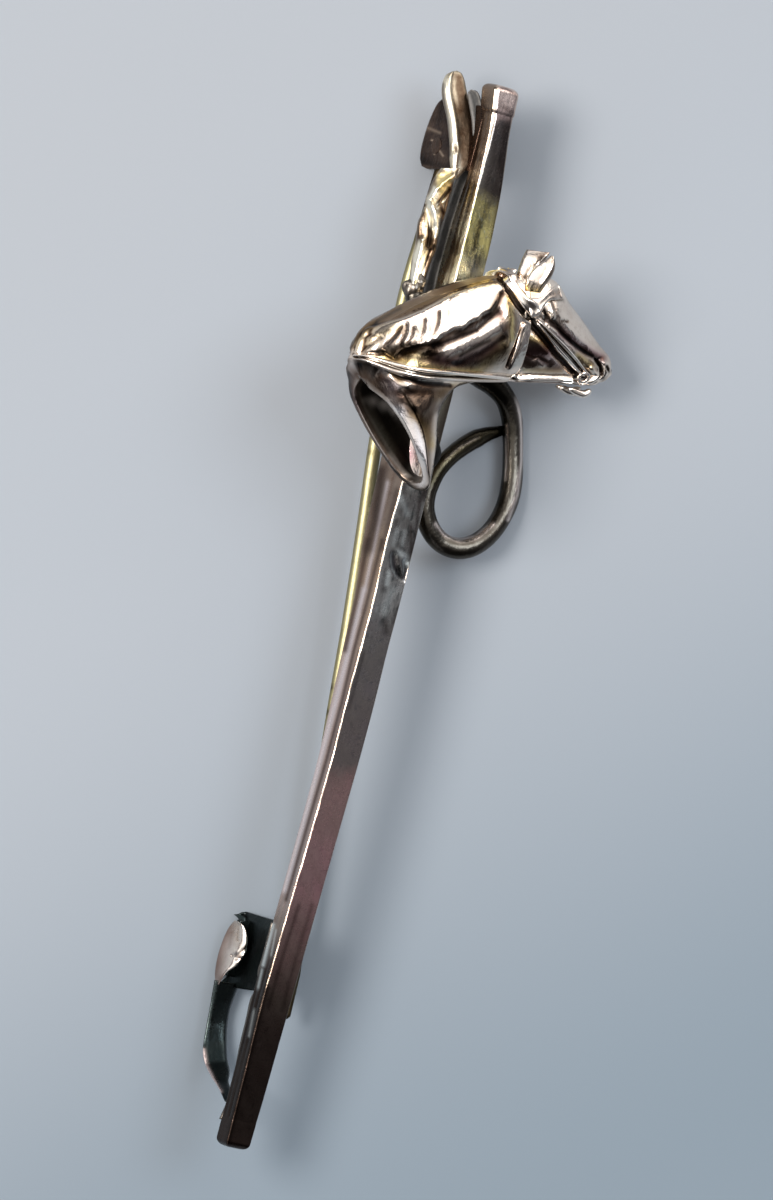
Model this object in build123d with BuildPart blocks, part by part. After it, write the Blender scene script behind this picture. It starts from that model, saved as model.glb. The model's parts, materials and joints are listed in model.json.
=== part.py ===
from build123d import *
from collections import namedtuple
from math import cos, radians, sin, sqrt
import os

# Horse brooch in millimetres: a square whip stock with a bridled horse head on its
# front, a lash that ends in a wire loop, and a hinged pin with a catch behind.
# It is modelled with X across, Y up the stock and Z out of its front, and each
# finished piece is then rolled on to its side, the way the brooch comes to rest.

# Whip stock
bar_length = 55.0
bar_width = 1.45
bar_depth = 1.65
bar_end_share = 0.88
bar_corner = 0.16
bar_arch = 0.8
collar_length = 1.5
collar_proud = 0.06
cap_chamfer = 0.36

# Horse bust
bust_width = 15.4
bust_height = 13.1
bust_thickness = 3.9
bust_up_bar = 13.4
bust_sink = 0.3
crest_flat = 1.2
neck_widest = 0.45
throat_starts = 0.86
throat_share = 0.72
base_wall = 0.45
base_hollow = 1.3
ear_root = 0.55
ear_tip = 0.14
strap_wire = 0.5
rein_wire = 0.46
ring_radius = 0.42
ring_wire = 0.26

# Lash, keeper and loop
lash_wire = 1.0
lash_strip = 0.62
lash_turns = 1.5
keeper_width = 1.5
keeper_thickness = 0.6
loop_width = 6.9
loop_height = 9.0

# Hinge
hinge_inset = 3.55
hinge_depth = 4.2
ear_height = 3.45
ear_slant = 0.45
ear_corner = 0.43
rivet_inset = 1.15
rivet_drop = 2.05
sheet = 0.35
eye_thickness = 0.64
eye_gap = 0.04
eye_radius = 0.72
rivet_radius = 0.28
rivet_gap = 0.03
rivet_head = 0.46
rivet_head_height = 0.12
rivet_head_round = 0.09

# Pin stem
stem_radius = 0.325
stem_straight = 8.3
stem_reach = 44.4
stem_aside = 2.8
stem_rise = 1.7
stem_point = 2.2
stem_tip = 0.12

# Catch
catch_inset = 9.6
catch_length = 3.5
catch_depth = 4.15
catch_width = 1.5
lip_height = 1.9
catch_strip = 0.9
catch_weld = 0.05

# Resting pose
resting_roll = 33.7

half_length = bar_length / 2
arch_radius = (half_length**2 + bar_arch**2) / (2 * bar_arch)


def bar_height(along):
    """Height of the arched stock's centre line above its ends"""
    return bar_arch - arch_radius + sqrt(arch_radius**2 - along**2)


def bar_share(along):
    """The stock is thickest in the middle and tapers to both ends"""
    return 1 - (1 - bar_end_share) * (along / half_length) ** 2


def bar_back(along):
    """Height of the stock's back face"""
    return bar_height(along) - bar_depth / 2 * bar_share(along)


# The bust's mid-plane stands on the front of the stock
bar_front = bar_height(bust_up_bar) + bar_depth / 2 * bar_share(bust_up_bar)
bust_mid = bar_front + bust_thickness / 2 - bust_sink


def bust_point(across, up, out=0.0):
    """A point of the bust from shares of its width, height and thickness"""
    return Vector(
        across * bust_width,
        bust_up_bar + up * bust_height,
        bust_mid + out * bust_thickness,
    )


# Neck sections from the base to the poll: crest point, throat point, and half
# thickness, all as shares of the bust's sizes
NeckSection = namedtuple("NeckSection", "crest_x crest_y throat_x throat_y half")
neck_sections = [
    NeckSection(-0.440, -0.090, -0.052, -0.500, 0.570),
    NeckSection(-0.415, 0.035, -0.068, -0.370, 0.560),
    NeckSection(-0.300, 0.145, -0.100, -0.235, 0.540),
    NeckSection(-0.150, 0.262, -0.062, -0.115, 0.500),
    NeckSection(-0.020, 0.340, 0.052, -0.045, 0.460),
    NeckSection(0.100, 0.388, 0.165, 0.005, 0.420),
]

# Head sections from the poll to the lips: brow line point, jaw line point, and
# half thickness
HeadSection = namedtuple("HeadSection", "brow_x brow_y jaw_x jaw_y half")
head_sections = [
    HeadSection(0.085, 0.375, 0.140, 0.035, 0.385),
    HeadSection(0.215, 0.405, 0.195, 0.010, 0.430),
    HeadSection(0.305, 0.335, 0.275, 0.025, 0.400),
    HeadSection(0.385, 0.278, 0.345, 0.040, 0.330),
    HeadSection(0.460, 0.218, 0.420, 0.040, 0.285),
    HeadSection(0.515, 0.180, 0.470, 0.050, 0.270),
    HeadSection(0.537, 0.140, 0.500, 0.075, 0.200),
]

# Corners of a head section: shares of its depth from brow to jaw, and of its half
# thickness
HeadCorner = namedtuple("HeadCorner", "down side")
head_corners = [
    HeadCorner(0.00, 0.35),
    HeadCorner(0.16, 0.82),
    HeadCorner(0.45, 1.00),
    HeadCorner(0.80, 0.82),
    HeadCorner(1.00, 0.40),
]

# Straps of the bridle, as shares of the bust's width, height and thickness
StrapPoint = namedtuple("StrapPoint", "across up out")
crown_strap = [
    StrapPoint(-0.005, 0.395, 0.10),
    StrapPoint(0.035, 0.340, 0.36),
    StrapPoint(0.120, 0.255, 0.43),
]
brow_band = [
    StrapPoint(0.130, 0.255, 0.43),
    StrapPoint(0.185, 0.340, 0.38),
    StrapPoint(0.240, 0.395, 0.14),
]
cheek_strap = [
    StrapPoint(0.125, 0.250, 0.43),
    StrapPoint(0.250, 0.165, 0.43),
    StrapPoint(0.375, 0.080, 0.30),
]
throat_lash = [
    StrapPoint(0.115, 0.240, 0.43),
    StrapPoint(0.085, 0.140, 0.41),
    StrapPoint(0.090, 0.040, 0.25),
]
rein = [
    StrapPoint(-0.452, -0.055, 0.22),
    StrapPoint(-0.340, -0.060, 0.47),
    StrapPoint(-0.120, -0.045, 0.46),
    StrapPoint(0.180, 0.010, 0.36),
    StrapPoint(0.370, 0.060, 0.30),
]
bit_ring_at = StrapPoint(0.385, 0.068, 0.29)
ear_roots = [StrapPoint(0.150, 0.345, 0.22), StrapPoint(0.150, 0.345, -0.22)]
ear_tips = [StrapPoint(0.158, 0.500, 0.27), StrapPoint(0.158, 0.500, -0.27)]

# Lash wire behind the neck and round the loop, as shares of the loop's width
# across and of its height from its lowest point; "wires" is how many wire
# diameters the point lies behind the stock's back face
LoopPoint = namedtuple("LoopPoint", "across up wires")
loop_bottom = 4.4
loop_route = [
    LoopPoint(0.020, 1.190, 0.50),
    LoopPoint(0.550, 0.930, 0.35),
    LoopPoint(0.860, 0.790, 0.11),
    LoopPoint(0.967, 0.300, 0.08),
    LoopPoint(0.826, 0.005, 0.08),
    LoopPoint(0.386, 0.000, 0.10),
    LoopPoint(0.231, 0.280, 0.22),
    LoopPoint(0.438, 0.560, 0.36),
    LoopPoint(0.800, 0.656, 0.50),
]

# Keeper and twisted lash beside the stock, from the top down: shares of the
# stock's half length up, of its width to the left, and of its width behind
LashPoint = namedtuple("LashPoint", "up left behind")
keeper_route = [
    LashPoint(1.002, 1.06, 1.50),
    LashPoint(0.920, 0.95, 1.00),
    LashPoint(0.825, 0.92, 0.66),
]
lash_route = [LashPoint(0.830, 1.00, 0.90), LashPoint(0.600, 1.17, 0.74)]


# Bowed strip from the catch's hook to the stock's lower end: shares of the way
# down from the hook, and of the catch's depth from its far side
StripPoint = namedtuple("StripPoint", "down rise")
strip_route = [
    StripPoint(-0.06, 0.042),
    StripPoint(0.42, 0.050),
    StripPoint(0.88, 0.300),
    StripPoint(1.00, 1.000),
]


def lash_point(place):
    """A point beside the stock"""
    return Vector(
        -place.left * bar_width,
        place.up * half_length,
        bar_height(place.up * half_length) - place.behind * bar_width,
    )


def loop_point(place):
    """A point of the loop wire behind the stock"""
    up = loop_bottom + place.up * loop_height
    return Vector(
        place.across * loop_width,
        up,
        bar_back(bust_up_bar) - place.wires * lash_wire,
    )


def corner_radii(points, share=0.45):
    """Radii that let neighbouring arcs of a route meet without a kink"""
    radii = []
    for before, here, after in zip(points, points[1:], points[2:]):
        turn = (here - before).get_angle(after - here)
        shorter = min((here - before).length, (after - here).length)
        radii.append(share * shorter / sin(radians(turn / 2)) * cos(radians(turn / 2)))
    return radii


def make_strap(points, wire):
    """A round strap through points of the bust"""
    places = [bust_point(*point) for point in points]
    with BuildPart() as strap:
        with BuildLine() as route:
            FilletPolyline(*places, radius=corner_radii(places))
        with BuildSketch(Plane(origin=route.line @ 0, z_dir=route.line % 0)):
            Circle(wire / 2)
        sweep()
        for end in (0, -1):
            add(Sphere(wire / 2, mode=Mode.PRIVATE).moved(Location(places[end])))
    return strap.part


def neck_plane(row):
    """Plane of a neck section: X from crest to throat, Y across the thickness"""
    crest = bust_point(row.crest_x, row.crest_y)
    throat = bust_point(row.throat_x, row.throat_y)
    down = (throat - crest).normalized()
    return Plane(origin=crest, x_dir=down, z_dir=down.cross(Vector(0, 0, 1))), (throat - crest).length


def neck_profile(plane, depth, half, inset=0.0):
    """Flat crest, bulging sides and round throat, all drawn in by inset"""
    crest = max(crest_flat / 2 - inset, 0.1)
    start, end = inset, depth - inset
    side = half - inset
    widest, throat, throat_half = depth * neck_widest, depth * throat_starts, side * throat_share
    with BuildSketch(plane) as profile:
        with BuildLine():
            Line((start, -crest), (start, crest))
            ThreePointArc((start, crest), (widest, side), (throat, throat_half))
            ThreePointArc((throat, throat_half), (end, 0), (throat, -throat_half))
            ThreePointArc((throat, -throat_half), (widest, -side), (start, -crest))
        make_face()
    return profile.sketch


# Stock: a square section lofted along the arch, with a collar and a cap
with BuildPart() as bar:
    for step in (-1, -0.5, 0, 0.5, 1):
        along = step * half_length
        share = bar_share(along)
        slope = Vector(0, sqrt(arch_radius**2 - along**2), -along)
        station = Plane(origin=(0, along, bar_height(along)), x_dir=(1, 0, 0), z_dir=slope)
        with BuildSketch(station):
            RectangleRounded(bar_width * share, bar_depth * share, bar_corner)
    loft()
    collar_width = bar_width * bar_end_share + 2 * collar_proud
    collar_depth = bar_depth * bar_end_share + 2 * collar_proud
    for end in (-1, 1):
        slope = Vector(0, -end * sqrt(arch_radius**2 - half_length**2), half_length)
        end_plane = Plane(origin=(0, end * half_length, 0), x_dir=(1, 0, 0), z_dir=slope)
        with BuildSketch(end_plane):
            Rectangle(collar_width, collar_depth)
        extrude(amount=collar_length)
    chamfer(bar.faces().sort_by(Axis.Y)[-1].edges(), cap_chamfer)
    chamfer(bar.faces().sort_by(Axis.Y)[0].edges(), cap_chamfer)

# Neck: lofted from the hollowed base to the poll
with BuildPart() as neck:
    profiles = []
    for row in neck_sections:
        plane, depth = neck_plane(row)
        profiles.append(neck_profile(plane, depth, row.half * bust_thickness))
    loft(profiles)

# The hollow in the base follows its outline one wall inside
with BuildPart() as hollow:
    row = neck_sections[0]
    plane, depth = neck_plane(row)
    outward = 1 if plane.z_dir.X < 0 else -1
    mouth = plane.offset(outward * base_wall)
    floor = plane.offset(-outward * base_hollow)
    base_half = row.half * bust_thickness
    loft([
        neck_profile(mouth, depth, base_half, base_wall),
        neck_profile(floor, depth, base_half, base_wall * 2),
    ])

# Head: eight-sided sections from the poll to the lips
with BuildPart() as head:
    for row in head_sections:
        brow = bust_point(row.brow_x, row.brow_y)
        jaw = bust_point(row.jaw_x, row.jaw_y)
        down = (jaw - brow).normalized()
        depth = (jaw - brow).length
        half = row.half * bust_thickness
        with BuildSketch(Plane(origin=brow, x_dir=down, z_dir=down.cross(Vector(0, 0, 1)))):
            with BuildLine():
                near = [(depth * corner.down, half * corner.side) for corner in head_corners]
                far = [(across, -out) for across, out in reversed(near)]
                Polyline(*near, *far, close=True)
            make_face()
    loft()

# Ears: two tapered cones
with BuildPart() as ears:
    for root, tip in zip(ear_roots, ear_tips):
        low, high = bust_point(*root), bust_point(*tip)
        with BuildSketch(Plane(origin=low, z_dir=high - low)):
            Circle(ear_root)
        with BuildSketch(Plane(origin=high, z_dir=high - low)):
            Circle(ear_tip)
        loft()

# Bridle: raised straps on the head, a rein to the withers and the bit ring
with BuildPart() as bridle:
    for strap_points in (crown_strap, brow_band, cheek_strap, throat_lash):
        add(make_strap(strap_points, strap_wire))
    add(make_strap(rein, rein_wire))
    with Locations(bust_point(*bit_ring_at)):
        Torus(ring_radius, ring_wire / 2)

# Keeper: the flat band at the top of the lash
with BuildPart() as keeper:
    keeper_places = [lash_point(place) for place in keeper_route]
    with BuildLine() as keeper_line:
        FilletPolyline(*keeper_places, radius=corner_radii(keeper_places))
    keeper_start = Plane(
        origin=keeper_line.line @ 0, x_dir=(1, 0, 0), z_dir=keeper_line.line % 0
    )
    with BuildSketch(keeper_start):
        RectangleRounded(keeper_thickness, keeper_width, keeper_thickness * 0.45)
    sweep()

# Twisted lash: a flat strip whose section turns on its way down
with BuildPart() as lash:
    top, bottom = (lash_point(place) for place in lash_route)
    straight = Plane(origin=top, x_dir=(1, 0, 0), z_dir=bottom - top)
    steps = round(8 * lash_turns)
    for step in range(steps + 1):
        turn = radians(360 * lash_turns * step / steps)
        section = Plane(
            origin=top + (bottom - top) * step / steps,
            x_dir=straight.x_dir * cos(turn) + straight.y_dir * sin(turn),
            z_dir=straight.z_dir,
        )
        with BuildSketch(section):
            Rectangle(lash_wire, lash_strip)
    loft()

# Loop: round wire behind the neck, round the loop and back behind its own leg
with BuildPart() as loop:
    loop_places = [bottom] + [loop_point(place) for place in loop_route[1:]]
    with BuildLine() as loop_line:
        FilletPolyline(*loop_places, radius=corner_radii(loop_places))
    with BuildSketch(Plane(origin=loop_line.line @ 0, z_dir=loop_line.line % 0)):
        Circle(lash_wire / 2)
    sweep()

# Hinge bracket: a folded sheet with two ears, riveted through
pivot_up = half_length - hinge_inset
pivot_out = bar_back(pivot_up) - hinge_depth + rivet_inset
ear_gap = eye_thickness + 2 * eye_gap
bracket_width = ear_gap + 2 * sheet
with BuildPart() as bracket:
    bracket_top = pivot_up + rivet_drop
    bracket_bottom = bracket_top - ear_height
    far = bar_back(pivot_up) - hinge_depth
    root = bar_back(pivot_up) + bar_corner
    with BuildSketch(Plane.YZ.offset(-bracket_width / 2)):
        with BuildLine():
            Polyline(
                (bracket_bottom, root),
                (bracket_top, root),
                (bracket_top, far + ear_slant),
                (bracket_bottom, far),
                close=True,
            )
        make_face()
        fillet(vertices().group_by(Axis.Z)[0], ear_corner)
    extrude(amount=bracket_width)
    with BuildSketch(Plane.YZ.offset(-ear_gap / 2)):
        with Locations((pivot_up, bar_back(pivot_up) - sheet - hinge_depth)):
            Rectangle(2 * ear_height, 2 * hinge_depth)
    extrude(amount=ear_gap, mode=Mode.SUBTRACT)
    with BuildSketch(Plane.YZ.offset(-bracket_width)):
        with Locations((pivot_up, pivot_out)):
            Circle(rivet_radius)
    extrude(amount=2 * bracket_width, mode=Mode.SUBTRACT)

# Rivet with a low head on each side
with BuildPart() as hinge_rivet:
    with BuildSketch(Plane.YZ.offset(-bracket_width / 2 - rivet_head_height)):
        with Locations((pivot_up, pivot_out)):
            Circle(rivet_radius)
    extrude(amount=bracket_width + 2 * rivet_head_height)
    for side in (-1, 1):
        with BuildSketch(Plane.YZ.offset(side * bracket_width / 2)):
            with Locations((pivot_up, pivot_out)):
                Circle(rivet_head)
        extrude(amount=side * rivet_head_height)
    fillet(hinge_rivet.edges().group_by(Axis.X)[0], rivet_head_round)
    fillet(hinge_rivet.edges().group_by(Axis.X)[-1], rivet_head_round)

# Pin stem: flat eye, straight run down, a bend aside and a tapered point
with BuildPart() as pin_stem:
    stem_bend = Vector(0, pivot_up - stem_straight, pivot_out - stem_radius)
    stem_end = Vector(stem_aside, pivot_up - stem_reach, pivot_out + stem_rise)
    stem_dir = (stem_end - stem_bend).normalized()
    stem_neck = stem_end - stem_dir * stem_point
    with BuildLine() as stem_line:
        FilletPolyline(
            Vector(0, pivot_up, pivot_out), stem_bend, stem_neck, radius=stem_straight
        )
    with BuildSketch(Plane(origin=stem_line.line @ 0, z_dir=stem_line.line % 0)):
        Circle(stem_radius)
    sweep()
    with BuildSketch(Plane(origin=stem_neck, z_dir=stem_dir)):
        Circle(stem_radius)
    with BuildSketch(Plane(origin=stem_end, z_dir=stem_dir)):
        Circle(stem_tip)
    loft()
    with BuildSketch(Plane.YZ.offset(-eye_thickness / 2)):
        with Locations((pivot_up, pivot_out)):
            Circle(eye_radius)
    extrude(amount=eye_thickness)
    with BuildSketch(Plane.YZ.offset(-eye_radius)):
        with Locations((pivot_up, pivot_out)):
            Circle(rivet_radius + rivet_gap)
    extrude(amount=2 * eye_radius, mode=Mode.SUBTRACT)

# Catch: a folded hook for the pin, and a bowed strip down to the stock's end
catch_top = -half_length + catch_inset + catch_length / 2
catch_bottom = catch_top - catch_length
catch_root = bar_back(catch_bottom) + bar_corner
catch_far = bar_back(catch_bottom) - catch_depth
with BuildPart() as catch:
    with BuildSketch(Plane.XZ.offset(-catch_top)):
        with BuildLine():
            Polyline(
                (catch_width / 2 - sheet, catch_root),
                (catch_width / 2 - sheet, catch_far + sheet),
                (sheet - catch_width / 2, catch_far + sheet),
                (sheet - catch_width / 2, catch_far + sheet + lip_height),
                (-catch_width / 2, catch_far + sheet + lip_height),
                (-catch_width / 2, catch_far),
                (catch_width / 2, catch_far),
                (catch_width / 2, catch_root),
                close=True,
            )
        make_face()
    extrude(amount=catch_length)
    strip_end = -half_length + collar_length + catch_weld + sheet / 2
    strip_places = []
    for place in strip_route:
        along = catch_bottom + place.down * (strip_end - catch_bottom)
        height = catch_far + place.rise * (bar_back(strip_end) + bar_corner - catch_far)
        strip_places.append(Vector(0, along, height))
    with BuildLine() as strip_line:
        FilletPolyline(*strip_places, radius=corner_radii(strip_places))
    strip_start = Plane(
        origin=strip_line.line @ 0, x_dir=(1, 0, 0), z_dir=strip_line.line % 0
    )
    with BuildSketch(strip_start):
        Rectangle(catch_strip, sheet)
    sweep()

# Soldered together, all the fixed metal is one solid
with BuildPart() as brooch_body:
    add(neck.part)
    add(hollow.part, mode=Mode.SUBTRACT)
    add(head.part)
    add(ears.part)
    add(bridle.part)
    for piece in (bar, keeper, lash, loop, bracket, catch):
        add(piece.part)

# The brooch rests on its side, with the middle of its floor box at the origin
rolled = Location((0, 0, 0), (0, resting_roll, 0))
pieces = {"brooch_body": brooch_body, "hinge_rivet": hinge_rivet, "pin_stem": pin_stem}
for piece in pieces.values():
    piece.part = piece.part.moved(rolled)
boxes = [piece.part.bounding_box() for piece in pieces.values()]
left, right = min(box.min.X for box in boxes), max(box.max.X for box in boxes)
lower, upper = min(box.min.Y for box in boxes), max(box.max.Y for box in boxes)
floor_height = min(box.min.Z for box in boxes)
set_down = Location((-(left + right) / 2, -(lower + upper) / 2, -floor_height))

os.makedirs("parts", exist_ok=True)
for name, piece in pieces.items():
    piece.part = piece.part.moved(set_down)
    piece.part.label = name
    export_step(piece.part, f"parts/{name}.step")
    print(name, "solids", len(piece.part.solids()), "mm3", round(piece.part.volume, 2))
print("set down by", set_down.position, "pivot", pivot_up, pivot_out)
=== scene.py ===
import json
import math
import bpy
import bmesh
import numpy as np
from mathutils import Matrix, Vector
from mathutils.bvhtree import BVHTree


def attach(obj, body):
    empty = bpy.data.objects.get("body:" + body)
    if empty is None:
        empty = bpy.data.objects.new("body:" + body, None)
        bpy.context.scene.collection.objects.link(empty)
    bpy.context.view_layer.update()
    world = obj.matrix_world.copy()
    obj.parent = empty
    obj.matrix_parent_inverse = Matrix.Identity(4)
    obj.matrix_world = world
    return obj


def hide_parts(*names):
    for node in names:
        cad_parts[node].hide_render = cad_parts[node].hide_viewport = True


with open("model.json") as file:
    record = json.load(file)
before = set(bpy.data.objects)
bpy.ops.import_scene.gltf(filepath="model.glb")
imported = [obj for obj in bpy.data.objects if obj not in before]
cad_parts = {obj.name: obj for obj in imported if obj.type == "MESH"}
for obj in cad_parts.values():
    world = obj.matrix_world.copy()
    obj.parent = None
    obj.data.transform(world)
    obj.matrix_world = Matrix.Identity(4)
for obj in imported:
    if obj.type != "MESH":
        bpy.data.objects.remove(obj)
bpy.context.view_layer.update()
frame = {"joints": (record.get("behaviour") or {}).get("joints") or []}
print("frame loaded")

# Every piece is drawn in millimetres as if the brooch stood upright: u across, v up
# the stock, w out of its front. lieDown rolls it on to its side, where the CAD lies.
lying = {
    "rollDeg": 33.7,
    "pivot": (0, 23.95, -3.606572),  # hinge axis on the upright brooch
    "bustMid": 3.062,  # the middle of the horse's thickness
}
hinge = next(joint for joint in frame["joints"] if joint["name"] == "pin_swing")
roll = Matrix.Rotation(math.radians(lying["rollDeg"]), 4, "Y")
shift = Vector(hinge["pos_m"]) * 1000 - roll @ Vector(lying["pivot"])
lieDown = Matrix.Scale(0.001, 4) @ Matrix.Translation(shift) @ roll
rollCos = math.cos(math.radians(lying["rollDeg"]))
rollSin = math.sin(math.radians(lying["rollDeg"]))
acrossView = np.array((rollCos, 0, rollSin))  # level direction across the view
upView = np.array((-rollSin, 0, rollCos))  # straight up from the floor

# The picture: 19.9 pixels to a millimetre, and the stock leans 14.4 degrees in it
picture = {
    "perMm": 19.9, "x": 368.0, "y": 617.0, "leanCos": 0.9686, "leanSin": 0.2487,
    "middle": (386.5, 600.0), "far": 400.0,  # mm from the camera down to the stock
    "lowest": -4.08,  # mm that a sheet's middle may lie under the stock's, so above the floor
}


# Places in the picture, given as x, y, x, y and so on, as millimetres across the view
# and up the stock
def viewSpot(places):
    places = np.reshape(np.array(places, float), (-1, 2))
    x, y = places[:, 0] - picture["x"], places[:, 1] - picture["y"]
    across = (x * picture["leanCos"] + y * picture["leanSin"]) / picture["perMm"]
    along = (x * picture["leanSin"] - y * picture["leanCos"]) / picture["perMm"]
    return np.stack([across, along], 1)


# Where upright points show in the picture: higher places spread from its middle
def seenAt(points):
    flat = np.stack([points @ acrossView, points[:, 1]], 1)
    middle = viewSpot(picture["middle"])[0]
    return middle + (flat - middle) * (picture["far"] / (picture["far"] - points @ upView))[:, None]


# The way back: where a place in the picture lies at a height over the stock's middle
def placedAt(seen, up):
    middle = viewSpot(picture["middle"])[0]
    return middle + (seen - middle) * (1 - np.reshape(up, (-1, 1)) / picture["far"])


def uprightPoints(flat, up):
    return flat[:, :1] * acrossView + np.reshape(up, (-1, 1)) * upView + np.stack(
        [np.zeros(len(flat)), flat[:, 1], np.zeros(len(flat))], 1)


# The far side of the horse is the near side in a mirror
def mirrored(points):
    copy = points.copy()
    copy[:, 2] = 2 * lying["bustMid"] - copy[:, 2]
    return copy


def unit(rows):
    return rows / np.maximum(np.linalg.norm(rows, axis=-1, keepdims=True), 1e-9)


def smoothStep(low, high, value):
    t = np.clip((value - low) / (high - low), 0, 1)
    return t * t * (3 - 2 * t)


# A smooth line through the points, as samples evenly spaced by its first few columns
def smoothPath(points, count, measured=3):
    pts = np.array(points, float)
    padded = np.vstack([2 * pts[0] - pts[1], pts, 2 * pts[-1] - pts[-2]])
    t = np.linspace(0, 1, 24, endpoint=False)[:, None]
    fine = []
    for a, b, c, d in zip(padded, padded[1:], padded[2:], padded[3:]):
        fine.append(0.5 * (2 * b + (c - a) * t + (2 * a - 5 * b + 4 * c - d) * t**2
                           + (3 * b - a - 3 * c + d) * t**3))
    fine = np.vstack(fine + [pts[-1:]])
    steps = np.linalg.norm(np.diff(fine[:, :measured], axis=0), axis=1)
    along = np.r_[0, np.cumsum(steps)]
    want = np.linspace(0, along[-1], count)
    return np.stack([np.interp(want, along, column) for column in fine.T], 1)


def fullCircle(count):
    return np.linspace(0, 2 * math.pi, count, endpoint=False)


# Distance from flat places to a drawn line
def lineDistance(places, line):
    best = np.full(len(places), 1e9)
    for start, end in zip(line, line[1:]):
        run = end - start
        t = np.clip(((places - start) @ run) / max(run @ run, 1e-12), 0, 1)
        gap = np.linalg.norm(places - start - t[:, None] * run, axis=1)
        best = np.minimum(best, gap)
    return best


# 1 inside a drawn outline, with a soft edge
def insideOutline(places, outline, edge):
    ring = np.vstack([outline, outline[:1]])
    odd = np.zeros(len(places), bool)
    for (ax, ay), (bx, by) in zip(ring, ring[1:]):
        crosses = (ay > places[:, 1]) != (by > places[:, 1])
        at = ax + (places[:, 1] - ay) / (by - ay + 1e-12) * (bx - ax)
        odd ^= crosses & (places[:, 0] < at)
    gap = lineDistance(places, ring)
    return smoothStep(-edge, edge, np.where(odd, gap, -gap))


# Rings of points joined into a skin, with each end closed to its middle
def skinRings(rings):
    rings = np.asarray(rings, float)
    rows, around = rings.shape[:2]
    here = np.arange(around)
    after = (here + 1) % around
    faces = []
    for row in range(rows - 1):
        low, high = row * around, (row + 1) * around
        faces += np.stack([low + here, low + after, high + after, high + here], 1).tolist()
    middles = np.stack([rings[0].mean(0), rings[-1].mean(0)])
    count, last = rows * around, (rows - 1) * around
    faces += [[count, b, a] for a, b in zip(here.tolist(), after.tolist())]
    faces += [[count + 1, last + a, last + b] for a, b in zip(here.tolist(), after.tolist())]
    return np.vstack([rings.reshape(-1, 3), middles]), faces


# Rings of points joined round a hoop
def hoopSkin(rings):
    rows, around = rings.shape[:2]
    row, slot = np.divmod(np.arange(rows * around), around)
    here, after = row * around, (row + 1) % rows * around
    beside = (slot + 1) % around
    faces = np.stack([here + slot, here + beside, after + beside, after + slot], 1).tolist()
    return rings.reshape(-1, 3), faces


# Several skins as one piece
def joined(parts):
    points, faces, count = [], [], 0
    for spots, polygons in parts:
        points.append(spots)
        faces += [[count + k for k in polygon] for polygon in polygons]
        count += len(spots)
    return np.vstack(points), faces


def farSide(points, faces):
    return mirrored(points), [face[::-1] for face in faces]


# Side directions carried along a path without twisting
def carriedFrames(path, firstSide):
    tangents = unit(np.gradient(path, axis=0))
    side = np.array(firstSide, float)
    sides = []
    for tangent in tangents:
        side = side - (side @ tangent) * tangent
        side = side / np.linalg.norm(side)
        sides.append(side)
    return tangents, np.array(sides)


# A wire or strip along a path. half and thick are half sizes at each sample, square
# goes from 0, an ellipse, to 1, a slab with rounded edges.
def wireRings(path, half, thick, firstSide=(1, 0, 0), around=20, square=0.0):
    half = np.broadcast_to(half, len(path))
    thick = np.broadcast_to(thick, len(path))
    angle = fullCircle(around)
    power = 1 - 0.6 * square
    flatX = np.sign(np.cos(angle)) * np.abs(np.cos(angle)) ** power
    flatY = np.sign(np.sin(angle)) * np.abs(np.sin(angle)) ** power
    rings = []
    for place, tangent, side, wide, deep in zip(path, *carriedFrames(path, firstSide), half, thick):
        other = np.cross(tangent, side)
        rings.append(place + np.outer(flatX * wide, side) + np.outer(flatY * deep, other))
    return np.array(rings)


# Half sizes that round off both ends of a wire
def roundedEnds(count, length, radius, startRound=1.0, endRound=1.0):
    along = np.linspace(0, length, count)
    start = np.clip(along / (radius * startRound), 0, 1) if startRound else np.ones(count)
    end = np.clip((length - along) / (radius * endRound), 0, 1) if endRound else np.ones(count)
    return np.sqrt(np.maximum(1 - (1 - start) ** 2, 0.02)) * np.sqrt(
        np.maximum(1 - (1 - end) ** 2, 0.02))


# Vertex normals and hollow and raised places, from the mesh itself
def meshForm(mesh, spread):
    count = len(mesh.vertices)
    spots = np.empty(count * 3)
    mesh.vertices.foreach_get("co", spots)
    spots = spots.reshape(-1, 3)
    normals = np.empty(count * 3)
    mesh.vertex_normals.foreach_get("vector", normals)
    normals = normals.reshape(-1, 3)
    pairs = np.empty(len(mesh.edges) * 2, int)
    mesh.edges.foreach_get("vertices", pairs)
    a, b = pairs.reshape(-1, 2).T
    degree = np.maximum(np.bincount(a, minlength=count) + np.bincount(b, minlength=count), 1)
    relaxed = spots.copy()
    for step in range(spread):
        total = np.stack([np.bincount(a, relaxed[b, k], count)
                          + np.bincount(b, relaxed[a, k], count) for k in range(3)], 1)
        relaxed = total / degree[:, None]
    return spots, normals, ((relaxed - spots) * normals).sum(1)


def makeMesh(name, points, faces):
    mesh = bpy.data.meshes.new(name)
    mesh.from_pydata(points.tolist(), [], faces)
    tidy = bmesh.new()
    tidy.from_mesh(mesh)
    bmesh.ops.recalc_face_normals(tidy, faces=tidy.faces)
    tidy.to_mesh(mesh)
    tidy.free()
    mesh.shade_smooth()
    return mesh


# Soft spots of colour rubbed on to a surface: place in the picture, radius, strength
def rubbed(points, *spots):
    seen = seenAt(points)
    total = np.zeros(len(points))
    for x, y, radius, strength in spots:
        gap = np.linalg.norm(seen - viewSpot((x, y)), axis=1) * picture["perMm"]
        total += strength * np.exp(-(gap / radius) ** 2)
    return total


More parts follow.
